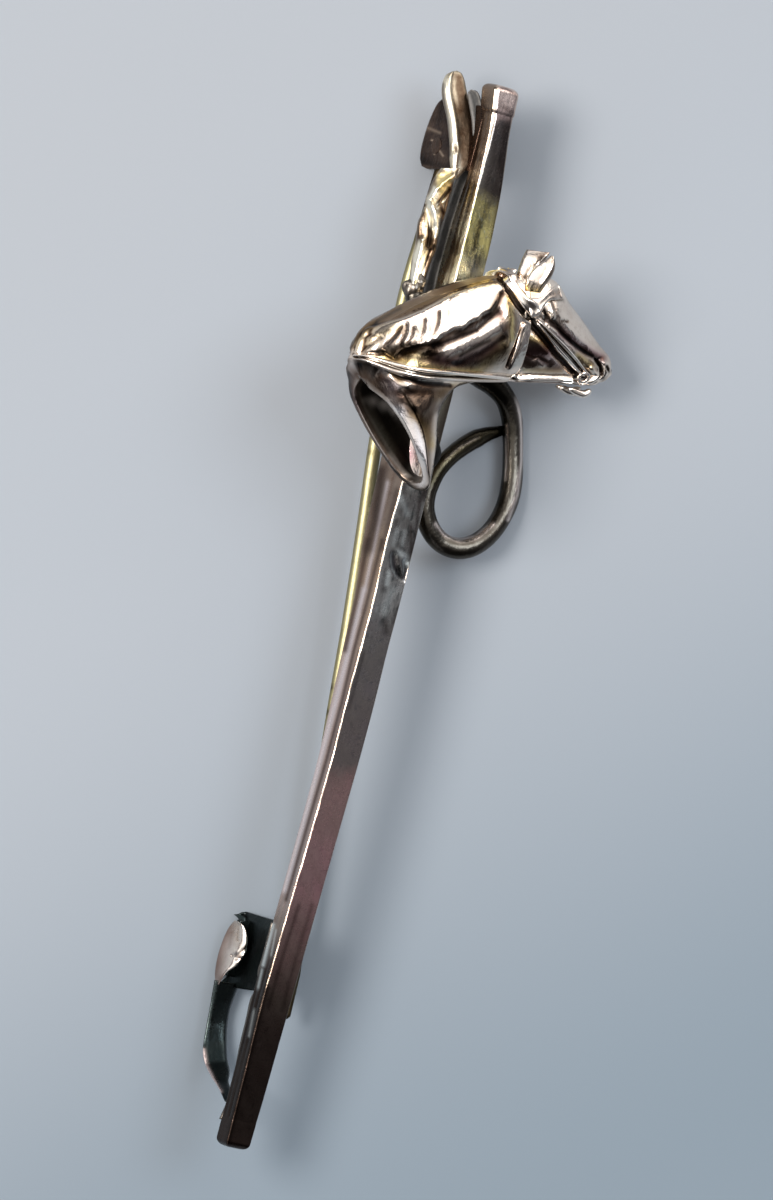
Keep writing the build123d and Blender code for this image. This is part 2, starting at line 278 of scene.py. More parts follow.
# Soft lines of colour drawn on to a surface. Each is its width in pixels, its strength,
# and the places in the picture that it runs through, as x, y, x, y and so on.
def stroked(points, *strokes):
    seen = seenAt(points)
    bare = np.ones(len(points))
    for width, strength, *line in strokes:
        gap = lineDistance(seen, viewSpot(line)) * picture["perMm"]
        bare *= 1 - strength * np.exp(-(gap / width) ** 2)
    return 1 - bare


# A soft patch of colour inside an outline drawn in the picture
def patched(points, outline, edge=3.0):
    return insideOutline(seenAt(points), viewSpot(outline), edge / picture["perMm"])


# A line drawn in the picture, as x, y and height over the stock's middle
def drawnLine(line, count):
    line = np.reshape(line, (-1, 3))
    path = smoothPath(np.c_[viewSpot(line[:, :2]), line[:, 2]], count)
    return uprightPoints(placedAt(path[:, :2], path[:, 2]), path[:, 2])


# The middle of a band drawn by its two edges in the picture, and its reach to the right
def drawnEdges(left, right, rows):
    left, right = smoothPath(viewSpot(left), rows), smoothPath(viewSpot(right), rows)
    return (left + right) / 2, (right - left) / 2


def spreadOver(values, count):
    return np.interp(np.linspace(0, 1, count), np.linspace(0, 1, len(values)), values)


# A band between two edges drawn in the picture. Its section runs from its left edge (-1)
# to its right edge (1), and its rise and thickness are given along it.
def drawnBand(left, right, rises, thicks, section, rows=90, tilt=0.0, around=48):
    middles, reaches = drawnEdges(left, right, rows)
    rise, thick = spreadOver(rises, rows), spreadOver(thicks, rows)
    for values in (rise, thick):
        values[2:-2] = np.convolve(values, np.ones(5) / 5, "valid")
    outline = np.reshape(section, (-1, 2))
    outline = smoothPath(np.vstack([outline, outline[:1]]), around + 1)[:-1]
    rings = []
    for i in range(rows):
        seen = middles[i] + np.outer(outline[:, 0], reaches[i])
        up = rise[i] + outline[:, 0] * tilt + outline[:, 1] * thick[i]
        rings.append(uprightPoints(placedAt(seen, up), up))
    return skinRings(rings)


# A finished piece: laid down in its place, riding on its body, with the masks that its
# material asks for
def finishPiece(name, points, faces, material, masks=None, body="brooch",
                node="brooch_body", slot="worn_gold", spread=3, hollowAt=0.02):
    mesh = makeMesh(name, np.asarray(points, float), faces)
    spots, normals, bend = meshForm(mesh, spread)
    values = {
        "hollow": np.clip(bend / hollowAt, 0, 1),
        "raised": np.clip(-bend / hollowAt, 0, 1),
        "upStock": spots[:, 1],
    }
    values.update(masks or {})
    for part in material.node_tree.nodes:
        if part.type == "ATTRIBUTE":
            values.setdefault(part.attribute_name, np.zeros(len(spots)))
    mesh.transform(lieDown)
    for label, value in values.items():
        layer = mesh.attributes.new(label, "FLOAT", "POINT")
        layer.data.foreach_set("value", np.asarray(value, np.float32))
    piece = bpy.data.objects.new(name, mesh)
    bpy.context.collection.objects.link(piece)
    mesh.materials.append(material)
    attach(piece, body)
    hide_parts(node)


# Camera, floor and light
studio = {
    "frameHeight": 60.3,  # mm seen from top to bottom of the picture
    "sensor": 24, "nearest": 0.02,
    "leanDeg": 14.4,
    # Painted shade: the floor's colour grows darker and cooler towards the lower right
    "floorColour": (0.188, 0.199, 0.215),  # pale sheet, cooler towards the lower right
    "floorMiddle": (0.187, 0.201, 0.220),
    "floorShadedFar": (0.100, 0.126, 0.150),
    "floorSize": 2.4,  # metres
    "floorGloss": 0.75, "skyStrength": 1.0,
}
aim = viewSpot(picture["middle"])[0]
cameraData = bpy.data.cameras.new("camera")
cameraData.sensor_fit = "VERTICAL"
cameraData.sensor_height = studio["sensor"]
cameraData.lens = studio["sensor"] * picture["far"] / studio["frameHeight"]
cameraData.clip_start = studio["nearest"]
camera = bpy.data.objects.new("camera", cameraData)
bpy.context.collection.objects.link(camera)
camera.location = Vector((aim[0] + shift.x, aim[1] + shift.y, shift.z + picture["far"])) / 1000
camera.rotation_euler = (0, 0, math.radians(studio["leanDeg"]))
bpy.context.scene.camera = camera
bpy.context.scene.view_settings.view_transform = "Standard"


# Directions given as they look in the picture: right, up and height over the floor
def skyDirection(right, up, elevation):
    lean = math.radians(studio["leanDeg"])
    flat = Vector((right * math.cos(lean) - up * math.sin(lean),
                   right * math.sin(lean) + up * math.cos(lean), 0)).normalized()
    rise = math.radians(elevation)
    return Vector((flat.x * math.cos(rise), flat.y * math.cos(rise), math.sin(rise)))


class Nodes:  # short calls for building a node tree
    def __init__(self, tree):
        self.tree = tree

    def feed(self, socket, value):
        if isinstance(value, bpy.types.NodeSocket):
            self.tree.links.new(value, socket)
        elif isinstance(value, tuple) and socket.type == "RGBA":
            socket.default_value = (*value, 1.0)
        elif value is not None:
            socket.default_value = value

    def add(self, kind, **settings):
        node = self.tree.nodes.new(kind)
        for key, value in settings.items():
            if key in node.inputs:
                self.feed(node.inputs[key], value)
            else:
                setattr(node, key, value)
        return node

    def math(self, operation, a, b=0.0, c=None, clamp=False):
        node = self.add("ShaderNodeMath", operation=operation, use_clamp=clamp)
        for socket, value in zip(node.inputs, (a, b, c)):
            self.feed(socket, value)
        return node.outputs[0]

    def mix(self, share, a, b, blend="MIX"):
        node = self.add("ShaderNodeMix", data_type="RGBA", blend_type=blend)
        for slot, value in ((0, share), (6, a), (7, b)):  # 6 and 7 are its two colours
            self.feed(node.inputs[slot], value)
        return node.outputs[2]

    def ramp(self, value, stops, smooth=True):
        node = self.tree.nodes.new("ShaderNodeValToRGB")
        node.color_ramp.interpolation = "EASE" if smooth else "LINEAR"
        while len(node.color_ramp.elements) > 1:
            node.color_ramp.elements.remove(node.color_ramp.elements[-1])
        for i, (place, colour) in enumerate(stops):
            stop = node.color_ramp.elements[0] if i == 0 else node.color_ramp.elements.new(place)
            stop.position = place
            stop.color = (*colour, 1.0) if isinstance(colour, tuple) else (colour,) * 3 + (1.0,)
        self.tree.links.new(value, node.inputs[0])
        return node.outputs[0]

    def attribute(self, label):
        return self.add("ShaderNodeAttribute", attribute_name=label).outputs["Fac"]


# Pale room, darker low on the right, with broad soft windows above
def buildSky():
    world = bpy.data.worlds.new("studio")
    bpy.context.scene.world = world
    world.use_nodes = True
    world.node_tree.nodes.clear()
    n = Nodes(world.node_tree)
    place = n.add("ShaderNodeTexCoord").outputs["Generated"]
    height = n.add("ShaderNodeSeparateXYZ", Vector=place).outputs["Z"]
    total = n.ramp(height, (  # from the floor's edge to straight overhead
        (0.0, (0.10, 0.10, 0.12)), (0.14, (0.14, 0.14, 0.16)), (0.30, (0.30, 0.31, 0.34)),
        (0.42, (0.36, 0.37, 0.39)), (0.54, (0.16, 0.16, 0.18)), (0.70, (0.22, 0.22, 0.24)),
        (0.84, (1.10, 1.10, 1.10)), (1.0, (1.60, 1.60, 1.60))), smooth=False)
    for direction, low, high, colour, add in (
        (skyDirection(0.35, -1, 26), 0.70, 0.96, (0.03, 0.028, 0.03), False),
        (skyDirection(0.72, 0.75, 27), 0.80, 0.92, (2.6, 2.55, 2.5), True),
        (skyDirection(-1, 0.4, 42), 0.78, 0.94, (1.2, 1.2, 1.2), True),
        (skyDirection(-0.5, -0.9, 24), 0.93, 0.98, (0.8, 0.85, 0.95), True),
    ):
        dot = n.add("ShaderNodeVectorMath", operation="DOT_PRODUCT")
        n.feed(dot.inputs[0], place)
        n.feed(dot.inputs[1], direction)
        share = n.ramp(dot.outputs["Value"], ((low, 0.0), (high, 1.0)))
        if add:
            total = n.mix(1.0, total, n.mix(share, (0.0, 0.0, 0.0), colour), "ADD")
        else:
            total = n.mix(share, total, colour)
    background = n.add("ShaderNodeBackground", Color=total, Strength=studio["skyStrength"])
    n.add("ShaderNodeOutputWorld", Surface=background.outputs[0])


buildSky()

lamps = {  # direction in the picture, elevation, distance mm, size mm, power W, colour
    "keyLamp": ((-0.9, 0.35), 56, 330, 150, 1.45, (1.0, 0.97, 0.93)),
    "coolLamp": ((0.9, 0.30), 54, 360, 170, 0.75, (0.80, 0.90, 1.0)),
}
for label, (toward, rise, distance, size, power, colour) in lamps.items():
    data = bpy.data.lights.new(label, "AREA")
    data.shape = "DISK"
    data.size = size / 1000
    data.energy = power
    data.color = colour
    lamp = bpy.data.objects.new(label, data)
    bpy.context.collection.objects.link(lamp)
    direction = skyDirection(*toward, rise)
    lamp.location = direction * distance / 1000
    lamp.rotation_euler = direction.to_track_quat("Z", "Y").to_euler()

floorMesh = bpy.data.meshes.new("floor")
half = studio["floorSize"] / 2
floorMesh.from_pydata([(-half, -half, 0), (half, -half, 0), (half, half, 0), (-half, half, 0)],
                      [], [(0, 1, 2, 3)])
floorObject = bpy.data.objects.new("floor", floorMesh)
bpy.context.collection.objects.link(floorObject)
floorMaterial = bpy.data.materials.new("paleFloor")
floorMaterial.use_nodes = True
floorShader = floorMaterial.node_tree.nodes["Principled BSDF"]
floorNodes = Nodes(floorMaterial.node_tree)
floorPlace = floorNodes.add("ShaderNodeTexCoord").outputs["Object"]
floorSlope = floorNodes.add("ShaderNodeVectorMath", operation="DOT_PRODUCT")
floorNodes.feed(floorSlope.inputs[0], floorPlace)
floorNodes.feed(floorSlope.inputs[1], skyDirection(0.45, -1, 0) * 16)
# Painted shade on the floor: its colour darkens towards the lower right, in place of light falling
# off
floorShade = floorNodes.ramp(floorNodes.math("ADD", floorSlope.outputs["Value"], 0.5), (
    (0.0, studio["floorColour"]), (0.35, studio["floorMiddle"]), (1.0, studio["floorShadedFar"])))
floorNodes.feed(floorShader.inputs["Base Color"], floorShade)
floorNodes.feed(floorShader.inputs["Roughness"], studio["floorGloss"])
floorMesh.materials.append(floorMaterial)
print("camera, sky and floor done")

# Finishes
grains = {  # sizes of the noises, in turns to a metre
    "fine": 7000.0, "specks": 3200.0, "dents": 1300.0, "scratches": (9000, 700, 9000),
    "scratchTilt": (0.1, 0.2, 0.35), "blotches": (3800, 1400, 3800), "zoneSway": 600.0,
    "bumpReach": 0.00003,  # metres
}
zoneSpan = 56  # mm of the stock that its zones of colour cover


# Tarnished metal: bright where it is rubbed, darker in the hollows, with fine scratches
def buildTarnish():
    tree = bpy.data.node_groups.new("tarnish", "ShaderNodeTree")
    for label, kind in (("Polished", "NodeSocketColor"), ("Tarnished", "NodeSocketColor"),
                        ("Deep", "NodeSocketColor"), ("Amount", "NodeSocketFloat"),
                        ("Hollow", "NodeSocketFloat"), ("Raised", "NodeSocketFloat"),
                        ("Patch", "NodeSocketFloat"), ("Polish", "NodeSocketFloat"),
                        ("Specks", "NodeSocketFloat"), ("Dents", "NodeSocketFloat")):
        tree.interface.new_socket(name=label, in_out="INPUT", socket_type=kind)
    for label, kind in (("Colour", "NodeSocketColor"), ("Roughness", "NodeSocketFloat"),
                        ("Height", "NodeSocketFloat")):
        tree.interface.new_socket(name=label, in_out="OUTPUT", socket_type=kind)
    n = Nodes(tree)
    given = n.add("NodeGroupInput").outputs
    place = n.add("ShaderNodeTexCoord").outputs["Object"]
    scale = n.math("DIVIDE", 1000.0, given["Patch"])
    broad = n.add("ShaderNodeTexNoise", Vector=place, Scale=scale, Detail=4.0, Roughness=0.55)
    fine = n.add("ShaderNodeTexNoise", Vector=place, Scale=grains["fine"], Detail=3.0,
                 Roughness=0.6)
    mottle = n.math("MULTIPLY_ADD", broad.outputs["Fac"], 2.4, -1.2)
    speck = n.math("MULTIPLY_ADD", fine.outputs["Fac"], 0.7, -0.35)
    mask = n.math("ADD", given["Amount"], n.math("ADD", mottle, speck))
    mask = n.math("ADD", mask, n.math("MULTIPLY", given["Hollow"], 1.1))
    mask = n.math("SUBTRACT", mask, n.math("MULTIPLY", given["Raised"], 1.0), clamp=True)
    colour = n.mix(mask, given["Polished"], given["Tarnished"])
    deep = n.math("MULTIPLY", given["Hollow"], n.math("MULTIPLY_ADD", mask, 0.6, 0.35), clamp=True)
    colour = n.mix(deep, colour, given["Deep"])
    grain = n.add("ShaderNodeTexNoise", Vector=place, Scale=grains["specks"], Detail=5.0,
                  Roughness=0.7)
    grainPatch = n.math("MULTIPLY_ADD", grain.outputs["Fac"], 9.0, -5.0, clamp=True)
    grainShare = n.math("MULTIPLY", grainPatch, given["Specks"])
    colour = n.mix(grainShare, colour, given["Deep"])
    scratchPlace = n.add("ShaderNodeMapping", Vector=place, Scale=grains["scratches"],
                         Rotation=grains["scratchTilt"])
    scratch = n.add("ShaderNodeTexNoise", Vector=scratchPlace.outputs[0], Scale=1.0, Detail=2.0)
    rough = n.math("MULTIPLY_ADD", mask, 0.16, given["Polish"])
    rough = n.math("MULTIPLY_ADD", fine.outputs["Fac"], 0.10, rough)
    height = n.math("ADD", n.math("MULTIPLY", scratch.outputs["Fac"], 0.45),
                    n.math("MULTIPLY", fine.outputs["Fac"], 0.55))
    dents = n.add("ShaderNodeTexNoise", Vector=place, Scale=grains["dents"], Detail=3.0,
                  Roughness=0.5, Distortion=0.8)
    height = n.math("ADD", height, n.math("MULTIPLY", dents.outputs["Fac"], given["Dents"]))
    out = n.add("NodeGroupOutput")
    for label, value in (("Colour", colour), ("Roughness", rough), ("Height", height)):
        n.feed(out.inputs[label], value)
    return tree


tarnishGroup = buildTarnish()


# A metal finish from the tarnish group. tints are masks painted over its colour, and zones
# are colours up the stock within a mask.
def metal(name, finish, tints=(), zones=(), mottle=None, rougher=(), **changes):
    look = dict(zip(finishParts, finishes[finish]), **changes)
    material = bpy.data.materials.new(name)
    material.use_nodes = True
    shader = material.node_tree.nodes["Principled BSDF"]
    n = Nodes(material.node_tree)
    tarnish = n.add("ShaderNodeGroup", node_tree=tarnishGroup)
    look.update(hollow=n.attribute("hollow"), raised=n.attribute("raised"))
    for socket in tarnish.inputs:
        n.feed(socket, look[socket.name.lower()])
    colour = tarnish.outputs["Colour"]
    if zones:
        along = n.math("MULTIPLY_ADD", n.attribute("upStock"), 1 / zoneSpan, 0.5)
        sway = n.add("ShaderNodeTexNoise", Vector=n.add("ShaderNodeTexCoord").outputs["Object"],
                     Scale=grains["zoneSway"], Detail=4.0, Roughness=0.6)
        along = n.math("MULTIPLY_ADD", sway.outputs["Fac"], 0.05, n.math("SUBTRACT", along, 0.025))
        for mask, ramp in zones:
            painted = n.ramp(along, [(v / zoneSpan + 0.5, tuple(tint)) for v, *tint in ramp])
            colour = n.mix(n.attribute(mask), colour, n.mix(0.75, colour, painted))
    if mottle:  # dark and pale blotches within a mask
        mask, dark, pale = mottle
        where = n.add("ShaderNodeMapping", Scale=grains["blotches"],
                      Vector=n.add("ShaderNodeTexCoord").outputs["Object"])
        blots = n.add("ShaderNodeTexNoise", Vector=where.outputs[0], Scale=1.0, Detail=6.0,
                      Roughness=0.62, Distortion=0.6)
        specks = n.add("ShaderNodeTexNoise", Vector=where.outputs[0], Scale=2.3, Detail=5.0,
                       Roughness=0.6)
        darkShare = n.math("MULTIPLY_ADD", blots.outputs["Fac"], 7.0, -3.3, clamp=True)
        paleShare = n.math("MULTIPLY_ADD", specks.outputs["Fac"], 9.0, -5.2, clamp=True)
        share = n.attribute(mask)
        colour = n.mix(n.math("MULTIPLY", darkShare, n.math("MULTIPLY", share, 0.85)), colour, dark)
        colour = n.mix(n.math("MULTIPLY", paleShare, n.math("MULTIPLY", share, 0.8)), colour, pale)
    for mask, tint, blend in tints:
        colour = n.mix(n.attribute(mask), colour, n.mix(1.0, colour, tint, blend))
    rough = tarnish.outputs["Roughness"]
    for mask, value in rougher:
        rough = n.math("MAXIMUM", rough, n.math("MULTIPLY", n.attribute(mask), value))
    bump = n.add("ShaderNodeBump", Height=tarnish.outputs["Height"], Strength=look["bump"],
                 Distance=grains["bumpReach"])
    for label, value in (("Base Color", colour), ("Roughness", rough), ("Normal", bump.outputs[0]),
                         ("Metallic", look["metallic"])):
        n.feed(shader.inputs[label], value)
    return material


finishParts = ("polished", "tarnished", "deep", "amount", "patch", "polish", "bump", "specks",
               "dents", "metallic")
finishes = {  # three colours, tarnish, patch mm, smoothest gloss, bump, specks, dents, metal
    "bust": ((0.83, 0.72, 0.62), (0.50, 0.37, 0.28), (0.05, 0.035, 0.03),
             0.26, 2.6, 0.09, 0.30, 0.22, 5.0, 1.0),
    "stock": ((0.72, 0.58, 0.44), (0.38, 0.27, 0.19), (0.06, 0.045, 0.035),
              0.45, 1.4, 0.13, 0.5, 0.45, 0.6, 1.0),
    "strap": ((0.88, 0.79, 0.70), (0.60, 0.48, 0.38), (0.05, 0.04, 0.035),
              0.15, 1.4, 0.12, 0.3, 0.18, 1.5, 1.0),
    "wire": ((0.062, 0.054, 0.044), (0.024, 0.022, 0.018), (0.05, 0.035, 0.03),
             0.50, 1.5, 0.20, 0.6, 0.35, 2.0, 1.0),
    "lash": ((0.70, 0.61, 0.45), (0.26, 0.17, 0.10), (0.05, 0.035, 0.025),
             0.40, 1.1, 0.27, 0.6, 0.4, 2.0, 1.0),
    "hinge": ((0.135, 0.086, 0.06), (0.036, 0.024, 0.021), (0.03, 0.02, 0.02),
              0.55, 0.8, 0.22, 1.0, 0.45, 1.0, 1.0),
    # The hook's web and strip: near black, as painted shade, for they lie in shadow
    "catch": ((0.035, 0.043, 0.042), (0.013, 0.019, 0.020), (0.02, 0.02, 0.02),
              0.62, 1.2, 0.18, 0.6, 0.5, 1.2, 1.0),
    "pin": ((0.30, 0.268, 0.15), (0.16, 0.135, 0.07), (0.08, 0.06, 0.03),
            0.30, 1.6, 0.42, 0.5, 0.16, 1.0, 1.0),
    "joint": ((0.115, 0.106, 0.098), (0.052, 0.05, 0.047), (0.03, 0.03, 0.03),
              0.5, 0.9, 0.58, 0.8, 0.4, 2.0, 0.4),
    "solder": ((0.15, 0.13, 0.11), (0.045, 0.036, 0.032), (0.03, 0.03, 0.03),
               0.6, 0.8, 0.30, 1.0, 0.6, 2.0, 1.0),
}
print("finishes ready")

# Whip stock
stock = {
    "length": 55.0, "depth": 1.65, "endShare": 0.88, "arch": 0.8,
    "corner": 0.08, "topCorner": 0.18,  # the top's corners are rounder, from topFrom to topTo
    "topFrom": 21.4, "topTo": 25.8, "edgeOut": 0.03, "rows": 420,
    "collarLength": 1.45, "collarProud": 0.045, "collarRise": 0.15, "seam": 0.01, "capRound": 0.34,
    "lowCollar": 0.25,  # the bottom collar's share of the top one's height
    "settle": 0.08,  # how much lower the worn front lies
    # Furrows in the left face: place in its depth, width and depth
    "furrows": ((0.62, 0.10, 0.020), (0.25, 0.09, 0.014)), "pitDepth": 0.09,
    "faceWide": (0.40, 0.42),  # how far the front's and the left face's masks reach, in sides
    "pit": (394, 555, 394.5, 566, 399, 576, 404, 579, 406.5, 570, 406, 562),
    # The ridge between the two faces that show, and the right side, in the picture
    "ridge": (496, 86, 493.5, 122, 484.5, 160, 475, 200, 463, 250, 398.5, 500, 387, 540,
              374.5, 600, 361, 650, 347.5, 700, 332.5, 760, 312.5, 830, 292, 900, 277.5, 950,
              263, 1000, 248.5, 1060, 236, 1110, 227, 1146),
    "right": (518, 97, 516, 114, 512.5, 122, 507, 160, 500, 200, 489.5, 250, 415.5, 540, 401, 600,
              387.5, 650, 375.5, 700, 359.5, 760, 339.5, 830, 319.5, 900, 305.5, 950, 291.5, 1000,
              274.5, 1060, 260.5, 1110, 251, 1140),
    # Pixels of the left face that show, up the stock
    "leftWide": ((-27.5, 12), (-22, 11), (-17, 12), (-12, 13), (-8, 14), (-4.5, 15.5), (-1.7, 18),
                 (1, 20), (3, 23), (6, 26), (9, 28), (12, 22), (16, 17.5), (18, 19), (20.5, 18),
                 (22, 14), (24, 12.5), (27.5, 15)),
}


def stockHeight(v):
    half = stock["length"] / 2
    radius = (half**2 + stock["arch"]**2) / (2 * stock["arch"])
    return stock["arch"] - radius + np.sqrt(radius**2 - np.minimum(np.abs(v), half) ** 2)


def stockShare(v):
    return 1 - (1 - stock["endShare"]) * (np.asarray(v, float) / (stock["length"] / 2)) ** 2


def solidBack(v):
    return stockHeight(v) - stock["depth"] / 2 * stockShare(v)


def stockFront(v):
    return stockHeight(v) + stock["depth"] / 2 * stockShare(v) - stock["settle"]


# A value given at places up the stock, with the corners of its line rounded off
def softened(v, ups, values):
    window = np.linspace(-1, 1, 9)[:, None]
    return np.interp(np.asarray(v, float) + window, ups, values).mean(0)


def acrossAt(line, v):
    spots = viewSpot(line)
    order = np.argsort(spots[:, 1])
    return softened(v, spots[order, 1], spots[order, 0])


def stockDepth(v):
    return softened(v, *zip(*stock["leftWide"])) / picture["perMm"] / rollSin


def stockBack(v):
    return stockFront(v) - stockDepth(v)


# Rounded rectangle with many points on its sides, and which side each point is on
def stockSection(width, depth, corner, onSide=15, onCorner=9):
    points, sides = [], []
    corners = (np.array((width, depth)) / 2 - corner) * ((1, 1), (-1, 1), (-1, -1), (1, -1))
    for quarter in range(4):
        for turn in np.linspace(quarter, quarter + 1, onCorner):
            angle = math.pi / 2 * turn
            out = corner * np.array((math.cos(angle), math.sin(angle)))
            points.append(corners[quarter] + out)
            sides.append(turn % 4)
        run = corners[(quarter + 1) % 4] - corners[quarter]
        for k in range(1, onSide):
            points.append(corners[quarter] + out + run * k / onSide)
            sides.append((quarter + 1) % 4)
    return np.array(points), np.array(sides)


def buildStock():
    half = stock["length"] / 2
    collarStart = half - stock["collarLength"]
    rise, seamWide, proud = stock["collarRise"], stock["seam"], stock["collarProud"]
    cap = stock["capRound"]
    collar = [(collarStart + seamWide + (rise - seamWide) * step, proud * step, 0.0)
              for step in np.linspace(0, 1, 6)]
    collar += [(collarStart + rise + (stock["collarLength"] - rise - cap) * step, proud, 0.0)
               for step in np.linspace(0.08, 1, 14)]
    collar += [(half - cap * (1 - math.sin(angle)), proud, cap * (1 - math.cos(angle)))
               for angle in math.pi / 2 * np.linspace(0.08, 1, 12)]
    # Each row is its height, how far it stands proud and how far it is drawn in
    rows = [(-v, stock["lowCollar"] * out, inset) for v, out, inset in reversed(collar)]
    rows += [(v, 0.0, 0.0) for v in np.linspace(-collarStart, collarStart, stock["rows"])] + collar
    ups = np.array([row[0] for row in rows])
    front, deep = stockFront(ups), stockDepth(ups)
    ridge = (acrossAt(stock["ridge"], ups) - stock["edgeOut"] - front * rollSin) / rollCos
    right = (acrossAt(stock["right"], ups) + stock["edgeOut"] - front * rollSin) / rollCos
    rings, sideRows = [], []
    for i, (v, proud, inset) in enumerate(rows):
        grow = proud - inset
        width, depth = right[i] - ridge[i] + 2 * grow, deep[i] + 2 * grow
        corner = stock["corner"] + stock["topCorner"] * smoothStep(stock["topFrom"],
                                                                   stock["topTo"], v)
        flat, sides = stockSection(width, depth, corner)
        rings.append(np.stack([flat[:, 0] + (right[i] + ridge[i]) / 2, np.full(len(flat), v),
                               flat[:, 1] + front[i] - deep[i] / 2], 1))
        sideRows.append(sides)
    rings, sides = np.array(rings), np.array(sideRows)
    v = rings[..., 1]
    plain = np.abs(v) < collarStart - 0.1
    # Drawn metal is never quite flat: long shallow furrows and small dents
    left = np.exp(-((sides - 2) / 0.3) ** 2)
    depthShare = (rings[..., 2] - (front - deep)[:, None]) / deep[:, None]
    furrow = sum(sunk * np.exp(-((depthShare - place) / wide) ** 2)
                 for place, wide, sunk in stock["furrows"])
    rings[..., 0] += left * plain * furrow * (1 + 0.4 * np.sin(v * 0.9 + 1))
    wave = 0.012 * np.sin(v * 1.7 + 0.8) * np.sin(v * 0.61) + 0.006 * np.sin(
        v * 4.3 + rings[..., 0] * 5)
    rings[..., 2] += plain * wave * np.exp(-((sides - 1) / 0.45) ** 2)
    worn = 0.016 * np.sin(v * 7.3) * np.sin(v * 2.9 + 1) + 0.010 * np.sin(v * 17)
    ridgeLine = np.exp(-((sides - 1.5) / 0.12) ** 2) * plain
    rings[..., 2] -= ridgeLine * (0.012 + worn)
    points, faces = skinRings(rings)
    flatSides = np.r_[sides.ravel(), 1, 1]
    frontFace = np.exp(-((flatSides - 1) / stock["faceWide"][0]) ** 4)
    leftFace = np.exp(-((flatSides - 2) / stock["faceWide"][1]) ** 4)
    points[:, 2] -= stock["pitDepth"] * stroked(points, (2.6, 1.0, *stock["pit"])) * frontFace
    masks = {
        "frontFace": frontFace,
        "leftFace": leftFace,
        # Light solder smeared below the neck, dark stains on the front, and painted shade where the
        # stock lies in shadow under the neck and beside the lash
        "solderSmear": frontFace * stroked(points,
            (4.0, 0.45, 392, 590, 387, 602, 384, 613), (3.0, 1.0, 398, 552, 404, 556, 408, 563),
            (3.2, 0.45, 400, 497, 405, 508, 407, 514), (2.6, 0.45, 397, 530, 393, 545),
            (2.4, 0.85, 389, 572, 387, 584), (2.2, 0.4, 405, 531, 402, 545),
            (5, 0.12, 470, 262, 478, 278)) + leftFace * stroked(points,
                (2.0, 0.8, 273, 925, 268, 945, 263, 965), (1.3, 0.6, 262, 970, 258, 988),
                (1.0, 0.5, 276, 930, 271, 956), (1.2, 0.35, 254, 1010, 249, 1036)),
        "stained": np.clip(frontFace * stroked(points,
            (3.0, 1.0, *stock["pit"]), (2.6, 0.85, 480, 222, 477, 236, 474, 250),
            (2.0, 0.5, 472, 208, 470, 222),
            (2.2, 0.6, 468, 240, 466, 252), (2.6, 0.6, 488, 205, 484, 216),
            (3.0, 0.6, 479, 258, 474, 272), (3.5, 0.5, 496, 128, 493, 160, 486, 188),
            (2.5, 0.35, 504, 130, 500, 170), (3.0, 0.7, 397, 520, 393, 532),
            (3, 0.6, 405, 505, 401, 512), (1.8, 0.9, 411, 526, 411, 556),
            (3.0, 0.7, 404, 480, 404, 494), (4, 0.6, 384, 619, 386, 632),
            (1.8, 0.85, 497, 88, 506, 89, 515, 94), (2.6, 0.6, 504, 108, 511, 112),
            (2.5, 0.6, 386, 570, 383, 590), (6, 0.5, 512, 124, 507, 160, 500, 192),
            (3.0, 0.5, 399, 606, 394, 622), (1.6, 0.5, 364, 652, 349, 708),
            (2.0, 0.6, 299, 905, 283, 955, 268, 1008), (2.2, 0.45, 312, 905, 297, 955, 282, 1010),
            (11, 0.84, 507, 126, 504, 150, 495, 192), (2.0, 0.7, 501, 190, 497, 215, 487, 262),
            (12, 0.62, 411, 500, 407, 530, 401, 556), (9, 0.72, 476, 262, 470, 284),
            (2.2, 0.9, 420, 500, 414, 545, 407, 578),
            (9, 0.95, 454, 392, 441, 430, 431, 466, 424, 496))
            + stroked(points,
                (2.6, 0.9, 481, 112, 478, 130, 472.5, 155, 466, 175, 459, 200),
                (2.2, 0.7, 478, 105, 484, 108, 490, 111),
                (2.6, 0.8, 267, 988, 248.5, 1060, 236, 1110, 228, 1142))
            + leftFace * stroked(points,
                (2.3, 0.85, 382, 540, 367.5, 600, 354, 650, 342.5, 700, 326.5, 760, 306, 830,
                 286, 900), (3.0, 0.85, 368, 540, 356.5, 598, 345, 650),
                (1.0, 0.3, 373.5, 560, 361, 612), (1.2, 0.5, 358.5, 650, 346, 700, 330.5, 760),
                (7, 0.5, 485, 100, 481, 140, 476, 165),
                (2.6, 0.7, 483, 100, 482, 120, 475, 160, 465, 200, 452, 250, 445, 280),
                (1.2, 0.5, 489, 150, 470, 215), (6.5, 0.88, 381, 470, 375, 520, 368, 548),
                (3.2, 0.6, 397, 490, 389, 522, 382, 548), (5, 0.5, 449, 236, 441, 272),
                (3, 0.6, 456, 236, 447, 284)), 0, 1),
        "lowEnd": np.maximum(smoothStep(-14.5, -22.5, points[:, 1]),
                             leftFace * smoothStep(-15.6, -18.5, points[:, 1])),
        "mottled": frontFace * stroked(points,
            (11, 0.95, 418, 490, 408, 530, 398, 575, 388, 615),
            (9, 0.85, 486, 205, 477, 245, 469, 285), (8, 0.35, 504, 130, 496, 180),
            (8, 0.5, 512, 100, 510, 113)),
        # Painted reflection: a pale pink band along the outer edge of the left face
        "paleReflection": leftFace * np.clip(stroked(points,
            (3.2, 0.95, 364, 590, 349, 650, 336, 700, 320, 760, 301.5, 830, 285, 890),
            (1.9, 0.75, 387.5, 482, 380.5, 515, 375.5, 540, 365, 590)), 0, 1),
    }
